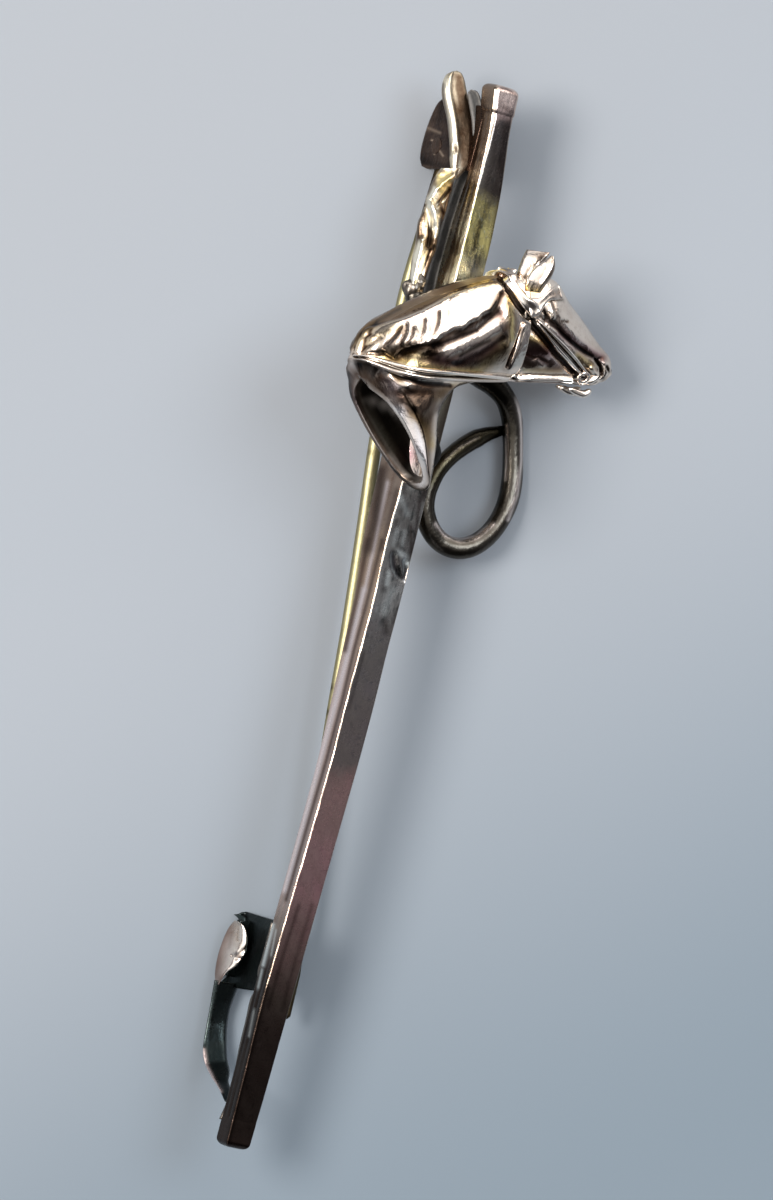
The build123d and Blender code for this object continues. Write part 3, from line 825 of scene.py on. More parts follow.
    frontZones = (  # mm up the stock, and the colour there
        (-27.5, 0.07, 0.045, 0.04), (-25.6, 0.02, 0.014, 0.015), (-20.0, 0.05, 0.03, 0.032),
        (-17.6, 0.18, 0.09, 0.10), (-13.0, 0.38, 0.19, 0.22), (-8.6, 0.34, 0.19, 0.20),
        (-7.0, 0.11, 0.10, 0.12), (-0.5, 0.12, 0.13, 0.15), (1.2, 0.34, 0.36, 0.37),
        (3.6, 0.30, 0.32, 0.33), (5.2, 0.42, 0.44, 0.44), (12.0, 0.40, 0.40, 0.30),
        (17.2, 0.46, 0.52, 0.42), (18.4, 0.62, 0.60, 0.34), (19.6, 0.72, 0.62, 0.20),
        (21.3, 0.52, 0.45, 0.15), (22.2, 0.12, 0.12, 0.12), (25.5, 0.12, 0.12, 0.14),
        (25.95, 0.62, 0.46, 0.44), (27.5, 0.95, 0.76, 0.70))
    leftZones = (
        (-27.5, 0.09, 0.07, 0.065), (-24.0, 0.014, 0.017, 0.02), (-19.0, 0.022, 0.025, 0.03),
        (-16.5, 0.20, 0.16, 0.15), (-14.2, 0.46, 0.36, 0.34), (-6.0, 0.52, 0.38, 0.34),
        (2.0, 0.50, 0.34, 0.24), (3.6, 0.34, 0.23, 0.16), (5.6, 0.19, 0.125, 0.10),
        (9.0, 0.17, 0.115, 0.09), (14.0, 0.38, 0.31, 0.24), (16.0, 0.34, 0.31, 0.23),
        (18.8, 0.30, 0.30, 0.22), (20.6, 0.20, 0.19, 0.15), (23.0, 0.15, 0.10, 0.07),
        (25.6, 0.12, 0.075, 0.05), (27.5, 0.13, 0.075, 0.05))
    look = metal("stockMetal", "stock", zones=(("frontFace", frontZones), ("leftFace", leftZones)),
                 tints=(("paleReflection", (0.86, 0.74, 0.72), "MIX"),
                        ("stained", (0.16, 0.13, 0.13), "MULTIPLY"),
                        ("lowEnd", (0.22, 0.20, 0.21), "MULTIPLY"),
                        ("solderSmear", (0.72, 0.75, 0.72), "MIX")),
                 mottle=("mottled", (0.035, 0.05, 0.052), (0.62, 0.64, 0.58)))
    finishPiece("whipStock", points, faces, look, masks, spread=4, hollowAt=0.03)


buildStock()
print("whip stock done")

# Horse: neck
# Its sections from the base to the poll: crest, throat, half thickness
neckRows = np.array((
    (-6.48, 12.28, -0.80, 6.85, 2.20),
    (-6.12, 13.78, -1.05, 8.55, 2.18),
    (-4.62, 15.30, -1.54, 10.32, 2.11),
    (-2.31, 16.83, -0.95, 11.89, 1.95),
    (-0.31, 17.85, 0.80, 12.81, 1.79),
    (1.54, 18.48, 2.54, 13.47, 1.64),
))
neck = {
    "rows": 180, "crestHalf": 0.60, "maneRaise": 0.12, "lockBeside": (0.17, 0.03),
    "baseSlant": 0.08, "rimRubbed": 0.5, "rimNear": 0.22, "rimUpper": 0.60, "rimCrest": 0.95,
    "closing": 0.62,  # how far the hollow may close towards its middle
}


# Half a neck section from crest to throat, as shares of depth and half thickness
def neckHalf(crestShare):
    return ((0.0, crestShare), (0.03, crestShare + 0.16), (0.12, crestShare + 0.38), (0.28, 0.93),
            (0.45, 1.0), (0.66, 0.93), (0.86, 0.72), (0.95, 0.50), (0.99, 0.24), (1.0, 0.0))


def neckSection(depth, half, onSide=84, onCrest=13):
    crest = neck["crestHalf"]
    outline = np.array(neckHalf(crest / half)) * (depth, half)
    side = smoothPath(outline, onSide)
    crestLine = np.linspace(-crest, crest, onCrest + 1)[1:-1]
    crestPoints = np.stack([np.zeros(len(crestLine)), crestLine], 1)
    return np.vstack([crestPoints, side, side[::-1][1:] * (1, -1)])


# Sections of the bust spread between its upper and its lower line
def bustRings(guideRows, count, section):
    rings = []
    for topU, topV, lowU, lowV, half in smoothPath(guideRows, count, measured=2):
        down = np.array((lowU - topU, lowV - topV))
        depth = np.linalg.norm(down)
        down = down / depth
        flat = section(depth, half)
        rings.append(np.stack([topU + down[0] * flat[:, 0], topV + down[1] * flat[:, 0],
                               lying["bustMid"] + flat[:, 1]], 1))
    return np.array(rings)


baseSteps = (  # mm in from the rim's edge, and mm down into the hollow
    (0.05, -0.04), (0.14, -0.06), (0.28, -0.06), (0.37, -0.04), (0.42, 0.04), (0.46, 0.16),
    (0.50, 0.40), (0.55, 0.8), (0.62, 1.2), (0.74, 1.55), (0.92, 1.78), (1.15, 1.86))


# The neck with its hollow base, and how many of its rings lie inside
def buildNeckShape():
    rings = bustRings(neckRows, neck["rows"], neckSection)
    # The base is cast hollow, with a flat rim
    first = rings[0]
    down = unit((neckRows[0, 2:4] - neckRows[0, :2])[None])[0]
    inward = np.array((-down[1], down[0], 0.0))
    if inward @ (rings[8].mean(0) - first.mean(0)) < 0:
        inward = -inward
    centre = first.mean(0)
    tangent = unit(np.roll(first, -1, 0) - np.roll(first, 1, 0))
    sideways = unit(np.cross(tangent, inward))
    if ((centre - first) * sideways).sum() < 0:
        sideways = -sideways
    inner = []
    room = np.linalg.norm(centre - first, axis=1)
    # The rim is broader on the near side and at the crest
    near = smoothStep(-0.6, 1.4, first[:, 2] - lying["bustMid"])
    broader = near * (neck["rimNear"] + neck["rimUpper"] * smoothStep(8.8, 11.6, first[:, 1]))
    broader = broader + neck["rimCrest"] * smoothStep(11.0, 12.3, first[:, 1])
    # Its near edge is rubbed round
    rubbedOff = neck["rimRubbed"] * near * smoothStep(7.6, 9.6, first[:, 1])
    for inset, depth in baseSteps:
        take = np.minimum(inset + broader * smoothStep(0.05, 0.42, inset), room * neck["closing"])
        move = sideways * take[:, None]
        for step in range(int(70 * smoothStep(0.0, 0.3, inset))):  # smoothed round the rim
            move = 0.25 * np.roll(move, 1, 0) + 0.5 * move + 0.25 * np.roll(move, -1, 0)
        sunk = depth + rubbedOff * (1 - smoothStep(0.0, 0.42, inset))
        inner.append(first + move + inward * sunk[:, None])
    fade = np.exp(-np.arange(len(rings)) / 16.0)
    rings = rings + (fade[:, None] * rubbedOff)[..., None] * inward
    whole = np.concatenate([np.array(inner)[::-1], rings])
    slant = np.clip(1 - np.arange(len(whole)) / 60, 0, 1)[:, None] ** 1.5
    lean = neck["baseSlant"] * (whole[..., 2] - lying["bustMid"] - 2.2) * slant
    whole = whole + lean[..., None] * inward
    return whole, len(inner)


# The same drawn detail on the near side and, mirrored, on the far side
def bothSides(points, normals, effect):
    flipped = normals * np.array((1, 1, -1))
    total = np.zeros(len(points))
    for spots, faces in ((points, normals), (mirrored(points), flipped)):
        total += effect(seenAt(spots)) * smoothStep(0.05, 0.35, faces @ upView) * (
            spots[:, 2] > lying["bustMid"] - 0.2)
    return total


maneLocks = (  # top, bottom, width and depth in mm
    (381, 337, 362, 352, 0.09, 0.05), (401, 328, 381, 350, 0.11, 0.06),
    (375, 335, 365, 339, 0.07, 0.04), (413, 328, 407, 344, 0.08, 0.05),
    (406, 325, 400, 345, 0.09, 0.06), (416, 330, 413, 343, 0.06, 0.04),
    (424, 320, 419, 341, 0.09, 0.04), (428, 325, 426, 340, 0.06, 0.03),
    (438, 312, 433, 337, 0.08, 0.045), (448, 312, 443, 334, 0.09, 0.014),
    (468, 304, 461, 326, 0.10, 0.014), (482, 293, 474, 318, 0.10, 0.012),
)
maneOutline = (346, 356, 366, 331, 382, 325, 402, 319, 422, 311, 440, 301, 460, 291, 482, 284,
               506, 279, 505, 290, 499, 294, 497, 302, 491, 311, 482, 315, 478, 319, 469, 323,
               462, 329, 454, 329, 445, 334, 436, 340, 427, 344, 418, 346, 410, 348, 402, 351,
               394, 358, 384, 352, 372, 354, 360, 355)
neckMuscles = (  # width and depth in mm, then the line in the picture
    (0.22, -0.08, 436, 347, 458, 338, 478, 330, 499, 312),
    (0.30, 0.07, 450, 352, 476, 344, 500, 328),
    (0.26, -0.08, 458, 364, 482, 353, 504, 338), (0.26, -0.04, 425, 358, 445, 362, 470, 366),
    (0.45, -0.11, 388, 384, 410, 392, 438, 388), (0.30, 0.06, 402, 402, 422, 412, 434, 400),
    (0.22, 0.07, 506, 300, 509, 320, 508, 346),
    (0.15, -0.30, 502, 280, 511, 291, 519, 304, 527, 314, 533, 319),
    (0.09, -0.20, 522, 332, 517, 346, 508, 367),
    (0.13, -0.10, 353, 364, 380, 371, 400, 378, 425, 384, 450, 386),
    (0.18, 0.06, 390, 375, 396, 385, 408, 386),
)


def lineRelief(seen, lines):
    total = np.zeros(len(seen))
    for width, depth, *line in lines:
        gap = lineDistance(seen, viewSpot(line))
        total += depth * np.exp(-(gap / width) ** 2)
    return total


def maneRelief(seen):
    total = neck["maneRaise"] * insideOutline(seen, viewSpot(maneOutline), 0.11)
    for ax, ay, bx, by, width, depth in maneLocks:
        line = smoothPath(viewSpot((ax, ay, (ax + bx) / 2 + 2, (ay + by) / 2 - 1, bx, by)), 9)
        gap = lineDistance(seen, line)
        total -= depth * np.exp(-(gap / width) ** 2)
        side = lineDistance(seen, line + neck["lockBeside"])  # raised beside its groove
        total += depth * 0.5 * np.exp(-(side / width) ** 2)
    return total


def pushedOut(points, faces, relief):
    mesh = makeMesh("rough", points, faces)
    normals = meshForm(mesh, 1)[1]
    bpy.data.meshes.remove(mesh)
    return points + normals * bothSides(points, normals, relief)[:, None]


def buildNeck():
    rings, innerCount = buildNeckShape()
    points, faces = skinRings(rings)
    points = pushedOut(points, faces,
                       lambda seen: maneRelief(seen) + lineRelief(seen, neckMuscles))
    around = rings.shape[1]
    row = np.r_[np.repeat(np.arange(len(rings)), around), 0, len(rings)]
    slotOnRing = np.r_[np.tile(np.arange(around), len(rings)), 0, 0]
    inside = smoothStep(innerCount - 3, innerCount - 7, row)
    crest = np.where((slotOnRing < 12) & (row > innerCount + 1), 1.0, 0.0)
    # Painted shade on the side of the base that lies low in the picture, but for a thin line left
    # lighter
    lowRimShade = (row <= innerCount) * (row >= innerCount - 6) * (
        1 - 0.55 * (row == innerCount - 4)) * smoothStep(1.4, 0.2, points[:, 2] - lying["bustMid"])
    masks = {
        # Painted shade inside the hollow base
        "hollowShade": inside,
        "leathery": np.clip(crest + 0.8 * lowRimShade, 0, 1),
        # Painted highlights along the rim of the hollow base and on its bright inner wall
        "creamed": np.clip(stroked(points,
            (3.4, 1.0, 368, 399, 382, 404, 400, 412, 414, 426, 421, 441, 423, 460, 422, 484),
            (5.0, 0.9, 420, 445, 421, 482), (0.8, 0.4, 364, 403, 378, 431, 394, 461, 412, 482),
            (3, 0.6, 352, 358, 351, 368))
            * (row < innerCount + 1) * (1 - 0.8 * inside), 0, 1),
        # A yellow painted reflection above the rein and on the chest, and a yellower tone along the
        # crest
        "yellowed": stroked(points,
            (5.5, 0.95, 384, 356, 405, 361, 425, 366, 450, 370, 478, 371),
            (7, 0.75, 484, 364, 497, 352, 504, 345), (4, 0.95, 509, 298, 512, 318, 512, 338),
            (6, 0.45, 362, 346, 380, 335, 398, 328), (3.5, 0.6, 455, 287, 486, 281),
            (6, 0.7, 440, 396, 455, 389, 470, 386), (3, 0.6, 392, 374, 400, 380),
            (6, 0.8, 411, 415, 424, 425, 430, 445), (5, 0.7, 405, 353, 430, 357),
            (6, 0.75, 352, 342, 366, 328, 384, 317, 402, 308, 422, 302, 442, 294, 464, 286,
             496, 280)),
        # Painted purple shade below the neck's muscle and at the chest's edge, and a purple painted
        # reflection in the hollow
        "purpled": np.clip(stroked(points,
            (6, 0.85, 432, 357, 446, 362, 462, 361, 480, 354, 494, 347),
            (5, 0.5, 352, 366, 350, 385, 356, 410), (5, 0.5, 500, 316, 506, 306),
            (8, 0.5, 388, 384, 398, 394)) + rubbed(points, (407, 455, 12, 1.0)), 0, 1),
        "shaded": np.clip(stroked(points,
            (4.2, 0.92, 392, 354, 402, 349, 415, 346, 428, 345, 440, 341, 452, 334, 462, 332,
             472, 326, 480, 320, 489, 314, 495, 305, 498, 298, 502, 293),
            (7.0, 0.80, 398, 352, 420, 350, 438, 350), (5, 0.45, 400, 357, 424, 360, 440, 362),
            (4.2, 0.95, 448, 360, 458, 356, 468, 351.5, 478, 346, 489, 341, 499, 336, 507, 327),
            (7, 0.6, 436, 362, 452, 365, 468, 361, 482, 355, 494, 348),
            (8, 0.55, 458, 366, 490, 362, 506, 352), (2.0, 0.5, 364, 340, 373, 335),
            (2.0, 0.65, 363, 351, 372, 344, 380, 338),
            (3.0, 0.72, 381, 350, 390, 345, 398, 337, 401, 328), (1.6, 0.6, 371, 336.5, 375, 336),
            (1.8, 0.72, 401, 345, 403, 333, 406, 325), (1.6, 0.6, 407, 344, 409, 335, 413, 328),
            (1.6, 0.55, 413, 343, 416, 330), (2.4, 0.45, 419, 341, 421, 327, 424, 320),
            (1.3, 0.35, 426, 340, 427, 325), (2.0, 0.55, 433, 336, 436, 324, 437, 313),
            (3.2, 0.75, 372, 352, 388, 352), (6, 0.5, 498, 310, 504, 322),
            (8, 0.45, 484, 366, 506, 350), (4, 0.4, 499, 296, 508, 292),
            (5, 0.35, 501, 302, 506, 318), (4, 0.5, 505, 369, 512, 352),
            (4, 0.5, 430, 350, 440, 356)) + 0.92 * patched(points,
                (351, 352, 356, 342, 366, 331, 382, 325, 402, 318.5, 421, 310.5, 440, 300.5,
                 460, 290.5, 480, 285, 498, 284, 506, 280, 500, 272, 460, 276, 420, 292, 380, 312,
                 352, 330, 342, 356, 347, 360), 1.6) + 0.93 * patched(points,
                    (358, 366, 380, 372, 400, 379, 440, 386, 506, 384, 472, 393, 446, 403,
                     434, 415, 431, 445, 431, 490, 424, 470, 424, 438, 412, 420, 398, 408,
                     380, 400, 366, 392, 358, 378), 3.0) * (
                1 - stroked(points,
                    (3.6, 0.95, 389, 376, 395, 385, 409, 384), (3.0, 0.7, 395, 386, 404, 389),
                    (3.4, 0.9, 365, 389, 371, 395, 380, 397),
                    (2.6, 0.8, 386, 398, 396, 402, 401, 407),
                    (4.2, 0.9, 366, 386, 373, 391, 380, 395), (1.6, 0.3, 440, 400, 434, 412)))
            + 0.9 * lowRimShade, 0, 1),
        # Painted deep shade in grooves and under raised parts: under the rein, beside the crown
        # strap and throat lash, under the mane, and on the low side of the base
        "deepened": np.clip(stroked(points,
            (2.0, 1.0, 356, 363.5, 372, 366.5, 390, 372.5, 402, 377.5, 420, 381.5, 442, 383),
            (4.0, 1.0, 502, 281, 511, 291, 519, 303, 527, 314, 533, 320),
            (2.2, 0.95, 522, 331, 517.5, 346, 509, 366), (2.4, 0.8, 357, 362, 370, 364),
            (2.2, 0.7, 455, 333, 462, 330, 472, 324), (2.2, 0.8, 484, 318, 490, 313, 496, 302),
            (1.8, 0.75, 460, 356, 470, 350, 480, 345, 490, 341), (2.2, 0.5, 404, 346, 416, 345),
            (2.0, 0.6, 394, 353, 398, 348), (1.2, 0.5, 365, 352, 385, 351),
            (1.8, 0.6, 348, 372, 352, 404, 366, 436, 390, 466, 412, 487),
            (1.8, 0.55, 350, 348, 360, 334, 380, 319.5, 400, 308.5))
            + 0.10 * crest + 0.45 * lowRimShade
            + 0.86 * patched(points,
                (372, 350, 386, 346, 398, 343, 412, 342, 424, 343, 438, 340, 446, 346, 441, 352,
                 430, 356, 414, 352, 400, 354, 391, 359, 380, 353), 2.4)
            + 0.75 * patched(points,
                (392, 350, 420, 349, 444, 354, 440, 363, 420, 361, 402, 357), 3.0)
            + stroked(points,
                (3.6, 0.93, 400, 389, 407, 399, 414, 410), (6, 0.55, 406, 361, 418, 365),
                (6, 0.25, 400, 366, 430, 372), (6, 0.28, 372, 346, 386, 342, 404, 334, 420, 327))
            + 0.42 * patched(points,
                (404, 386, 430, 389, 462, 390, 444, 404, 432, 417, 426, 432, 416, 415, 404, 398))
            + 0.6 * patched(points,
                (462, 356, 476, 350, 500, 340, 508, 330, 508, 352, 494, 364, 470, 368, 450, 364)),
            0, 1),
    }
    look = metal("bustMetal", "bust", tints=(
        ("yellowed", (0.95, 0.80, 0.40), "MULTIPLY"), ("purpled", (0.58, 0.40, 0.48), "MULTIPLY"),
        ("shaded", (0.26, 0.195, 0.155), "MULTIPLY"),
        ("deepened", (0.05, 0.048, 0.045), "MULTIPLY"),
        ("hollowShade", (0.075, 0.085, 0.082), "MULTIPLY"), ("creamed", (0.90, 0.82, 0.76), "MIX")),
        rougher=(("hollowShade", 0.55), ("leathery", 0.42)))
    finishPiece("horseNeck", points, faces, look, masks, spread=10)
    return points, faces, look


neckPoints, neckFaces, bustMetal = buildNeck()
print("neck done")

# Horse: head
# Its sections from the poll to the lips: brow, jaw, half thickness
headRows = np.array((
    (1.31, 18.31, 2.16, 13.86, 1.50),
    (3.31, 18.71, 3.00, 13.53, 1.68),
    (4.70, 17.79, 4.24, 13.73, 1.56),
    (5.93, 17.04, 5.31, 13.92, 1.29),
    (7.08, 16.26, 6.47, 13.92, 1.11),
    (7.93, 15.76, 7.24, 14.06, 1.02),
    (8.20, 15.30, 7.58, 14.30, 0.80),
))
head = {"rows": 150, "lips": 0.34}
# Half a head section from brow to jaw, as shares of depth and half thickness
headHalf = (
    (0.0, 0.0), (0.0, 0.20), (0.015, 0.40), (0.09, 0.60), (0.20, 0.80), (0.31, 0.95),
    (0.36, 0.985), (0.50, 1.0), (0.66, 0.95), (0.80, 0.84), (0.91, 0.62), (0.98, 0.30),
    (1.0, 0.0))


def headSection(depth, half, onSide=70):
    side = smoothPath(np.array(headHalf) * (depth, half), onSide)
    return np.vstack([side, side[::-1][1:-1] * (1, -1)])


headFeatures = (  # width and depth in mm, then the line in the picture
    (0.12, -0.20, 543, 309, 546, 312, 548, 316),  # eye
    (0.10, 0.12, 549, 304, 551, 311, 553, 317),
    (0.08, -0.10, 541, 316, 546, 321),
    (0.17, -0.12, 548, 320, 560, 330, 572, 342, 586, 352, 600, 359),
    (0.05, -0.06, 562, 321, 568, 322),
    (0.24, 0.10, 528, 338, 538, 343, 548, 351),  # cheek
    (0.22, -0.07, 520, 352, 534, 358, 548, 362),
    (0.12, 0.05, 538, 361, 543, 366),
    (0.16, -0.26, 530, 322, 544, 338, 558, 356, 574, 373),
    (0.09, -0.20, 522, 332, 517, 346, 508, 367),
    (0.16, 0.08, 572, 350, 584, 362, 592, 368),
    (0.10, -0.30, 598, 360, 602, 366, 603, 375),  # nostril
    (0.05, -0.09, 607, 366, 609, 371),
    (0.06, -0.16, 584, 382, 590, 378, 600, 378),  # mouth
    (0.12, 0.10, 590, 368, 596, 375),
    (0.12, 0.10, 587, 385, 596, 382),
)


def buildHead():
    rings = list(bustRings(headRows, head["rows"], headSection))
    ahead = unit((rings[-1].mean(0) - rings[-8].mean(0))[None])[0]
    last, middle = rings[-1], rings[-1].mean(0)
    for step in (0.25, 0.45, 0.62, 0.78, 0.90, 0.97):  # rounded lips
        shrink = math.sqrt(1 - step**2)
        rings.append(middle + (last - middle) * shrink + ahead * head["lips"] * step)
    points, faces = skinRings(rings)
    points = pushedOut(points, faces, lambda seen: lineRelief(seen, headFeatures))
    # Painted light on the head: a yellow sheen on the cheek and by the bit, purple and brown shade
    # on the cheek and face, and deep shade by the straps, eye, nostril and mouth
    masks = {
        "yellowed": stroked(points,
            (4, 0.95, 527, 338, 541, 342, 547, 347), (4, 0.8, 578, 356, 590, 365),
            (6, 0.8, 522, 288, 535, 295), (3, 0.5, 525, 370, 560, 371)),
        "purpled": stroked(points,
            (8, 0.95, 524, 354, 536, 352, 548, 350),
            (5, 0.85, 562, 333, 576, 344, 592, 353, 602, 358), (6, 0.5, 545, 360, 556, 366)),
        "shaded": np.clip(stroked(points,
            (7, 0.8, 524, 350, 536, 349, 546, 352), (6, 0.85, 522, 362, 540, 368, 560, 368),
            (3, 0.3, 528, 330, 540, 334), (3.5, 0.75, 562, 334, 576, 345, 592, 354, 602, 359),
            (3, 0.6, 552, 305, 558, 318, 562, 330), (5, 0.7, 566, 362, 574, 372),
            (4, 0.5, 515, 345, 519, 360), (5, 0.45, 575, 352, 594, 366),
            (1.2, 0.8, 560, 322, 568, 321), (4, 0.6, 572, 384, 590, 388)), 0, 1) * (
            1 - stroked(points, (3.5, 0.8, 538, 360, 542, 365))),
        "deepened": stroked(points,
            (3.4, 1.0, 533, 322, 545, 337, 556, 350, 566, 362, 576, 372),
            (2.4, 0.9, 547, 318, 555, 321, 561, 332, 574, 344, 588, 354, 601, 361),
            (3.0, 1.0, 543, 308, 546, 313, 548, 318), (2.4, 0.95, 597, 362, 602, 369, 603, 378),
            (1.4, 0.9, 607, 366, 609, 372), (4.0, 1.0, 576, 374, 588, 379),
            (2.2, 0.95, 522, 331, 517.5, 346, 509, 366), (1.2, 0.8, 551, 301, 563, 300),
            (4.0, 1.0, 500, 281, 511, 291, 519, 303, 527, 314, 533, 320),
            (1.8, 0.9, 568, 386, 586, 387)),
    }
    finishPiece("horseHead", points, faces, bustMetal, masks, spread=10)
    return points, faces


headPoints, headFaces = buildHead()
print("head done")

# Horse: ears
earSection = [(-1, -0.4), (-1, 0.25), (-0.8, 0.75), (-0.45, 0.9), (0.0, 0.7), (0.35, 0.62),
              (0.62, 0.75), (0.80, 0.45), (1.0, -0.15), (1.0, -0.8), (0.5, -1.0), (-0.5, -1.0)]
ears = {  # left edge and right edge in the picture from root to tip, heights, thickness, tilt
    "nearEar": ((525, 291, 525, 284, 528.5, 275, 536, 266, 545, 260, 551.5, 255.5),
                (540, 293, 545.5, 285, 551, 277, 554.5, 268, 554.5, 260, 553, 256),
                (3.15, 3.35, 3.45, 3.50, 3.5), (0.20, 0.26, 0.22, 0.16, 0.07), 0.10),
    "farEar": ((514, 281, 517, 273, 521, 262, 524.5, 254, 527, 249.5),
               (530, 286, 536, 274, 543, 263, 547.5, 256, 549.5, 252.5),
               (2.0, 2.25, 2.30, 2.30, 2.28), (0.20, 0.24, 0.20, 0.18, 0.08), 0.16),
}
# Painted shade strokes, then deep painted shade strokes, for each ear
earShades = {  # shaded strokes, then deepened strokes
    "nearEar": (((3.0, 0.75, 554, 260, 555.5, 268, 549, 279, 542, 289),
                 (2.5, 0.6, 526, 292, 540, 293)), ()),
    "farEar": (((3.2, 0.9, 541, 257, 549, 253), (2.0, 0.5, 528, 270, 534, 262, 541, 258)),
               ((2.6, 0.9, 525.5, 249, 521, 260, 517, 271),
                (1.8, 0.9, 524, 278, 530, 269, 537, 262, 545, 257))),
}


def buildEars():
    for name, (left, right, rises, thicks, tilt) in ears.items():
        points, faces = drawnBand(left, right, rises, thicks, earSection, rows=60, tilt=tilt)
        shaded, deepened = earShades[name]
        # Painted yellow sheen at the ear's root, and painted shade on its edges
        finishPiece(name, points, faces, bustMetal, spread=5, masks={
            "yellowed": stroked(points, (5, 0.9, 523, 287, 533, 291, 540, 291)),
            "shaded": stroked(points, *shaded), "deepened": stroked(points, *deepened)})


buildEars()
print("ears done")

# Bridle
strapStep = 0.07  # mm from one ring of a strap to the next
bustTrees = [BVHTree.FromPolygons(neckPoints.tolist(), neckFaces),
             BVHTree.FromPolygons(headPoints.tolist(), headFaces)]


# A line drawn in the picture, dropped on to the horse's near side, and which way it faces
def onHorse(line, count, relax=6):
    seen = smoothPath(viewSpot(line), count)
    heights, directions = np.full(count, np.nan), np.tile(upView, (count, 1))
    above = np.full(count, 20.0)  # mm, higher than the horse
    starts = uprightPoints(placedAt(seen, above), above)
    ways = unit(uprightPoints(seen, np.zeros(count)) - starts)
    for i in range(count):
        for tree in bustTrees:
            spot, normal, index, distance = tree.ray_cast(Vector(starts[i]), Vector(ways[i]))
            if spot is None:
                continue
            height = Vector(upView).dot(spot)
            if np.isnan(heights[i]) or height > heights[i]:
                heights[i] = height
                directions[i] = normal if Vector(normal).dot(Vector(upView)) > 0 else -normal
    known = ~np.isnan(heights)
    if known.any():
        heights = np.interp(np.arange(count), np.arange(count)[known], heights[known])
    else:  # beside the jaw, so on the horse's own middle
        out = lying["bustMid"] + 0.5
        heights = (out - seen[:, 0] * rollSin) / rollCos
    for step in range(relax):
        padded = np.pad(heights, 1, "edge")
        heights = (padded[:-2] + 2 * padded[1:-1] + padded[2:]) / 4
        spread = np.pad(directions, ((1, 1), (0, 0)), "edge")
        directions = unit(spread[:-2] + 2 * spread[1:-1] + spread[2:])
    return uprightPoints(placedAt(seen, heights), heights), directions


# Section of a strap from its left edge over the top: share of half width, of height
strapShapes = {
    "rounded": ((-1, -0.9), (-1.0, 0.1), (-0.86, 0.62), (-0.5, 0.93), (0, 1.0), (0.5, 0.93),
                (0.86, 0.62), (1.0, 0.1), (1, -0.9)),
    "double": ((-1, -0.9), (-1.0, 0.2), (-0.88, 0.75), (-0.58, 1.0), (-0.28, 0.72), (0, -0.05),
               (0.28, 0.72), (0.58, 1.0), (0.88, 0.75), (1.0, 0.2), (1, -0.9)),
}
straps = {  # line in the picture, widths mm along it, height mm, section
    "rein": ((354, 355.5, 366, 358, 380, 362, 400, 369, 420, 373.3, 440, 374.8, 470, 375.8,
              520, 376.5, 552, 377.5, 574, 379), (0.26, 0.52, 0.60, 0.55, 0.50, 0.48, 0.46), 0.27,
             "double"),
    "cheekStrap": ((536, 320, 547, 332, 559, 346, 570, 358, 579, 368, 585, 374),
                   (0.20, 0.36, 0.56, 0.54, 0.34), 0.26, "double"),
    "throatLash": ((524, 322, 521, 334, 518, 345, 513.5, 357, 511, 364),
                   (0.34, 0.24, 0.20, 0.16, 0.10), 0.20, "rounded"),
    "chinStrap": ((568, 388, 576, 392, 584, 394, 591, 390), (0.22, 0.34, 0.40, 0.30), 0.24,
                  "rounded"),
    "lowerLip": ((584, 382, 591, 380, 598, 376), (0.26, 0.40, 0.36), 0.22, "rounded"),
    "bitCurl": ((577, 381, 582, 383, 588, 382, 592, 378), (0.12, 0.14, 0.14, 0.12), 0.14,
                "rounded"),
    "bitStud": ((586.5, 374, 588.5, 373), (0.24, 0.24), 0.22, "rounded"),
}
ribbonSection = [(-1, -1), (-1, 0.3), (-0.9, 0.8), (-0.6, 1.0), (0, 0.95), (0.6, 1.0), (0.9, 0.8),
                 (1, 0.3), (1, -1), (0, -1.1)]
ribbons = {  # left and right edges in the picture, height over the horse, thickness
    "crownStrap": ((494, 273, 498, 279, 503, 282.5, 509, 288, 515, 296, 521, 305, 527, 313,
                    532, 318),
                   (500, 266, 506, 268.5, 512, 275.5, 518, 284.5, 523, 292, 529, 298, 537, 303,
                    541, 311), 0.12, 0.24),
    "browBand": ((526, 297, 536, 298, 542, 296.5, 548, 291.5, 554, 286.5, 559, 284.5),
                 (532, 318, 540, 315, 544.5, 307, 550, 301, 556, 300, 563, 299.5), 0.10, 0.22),
}


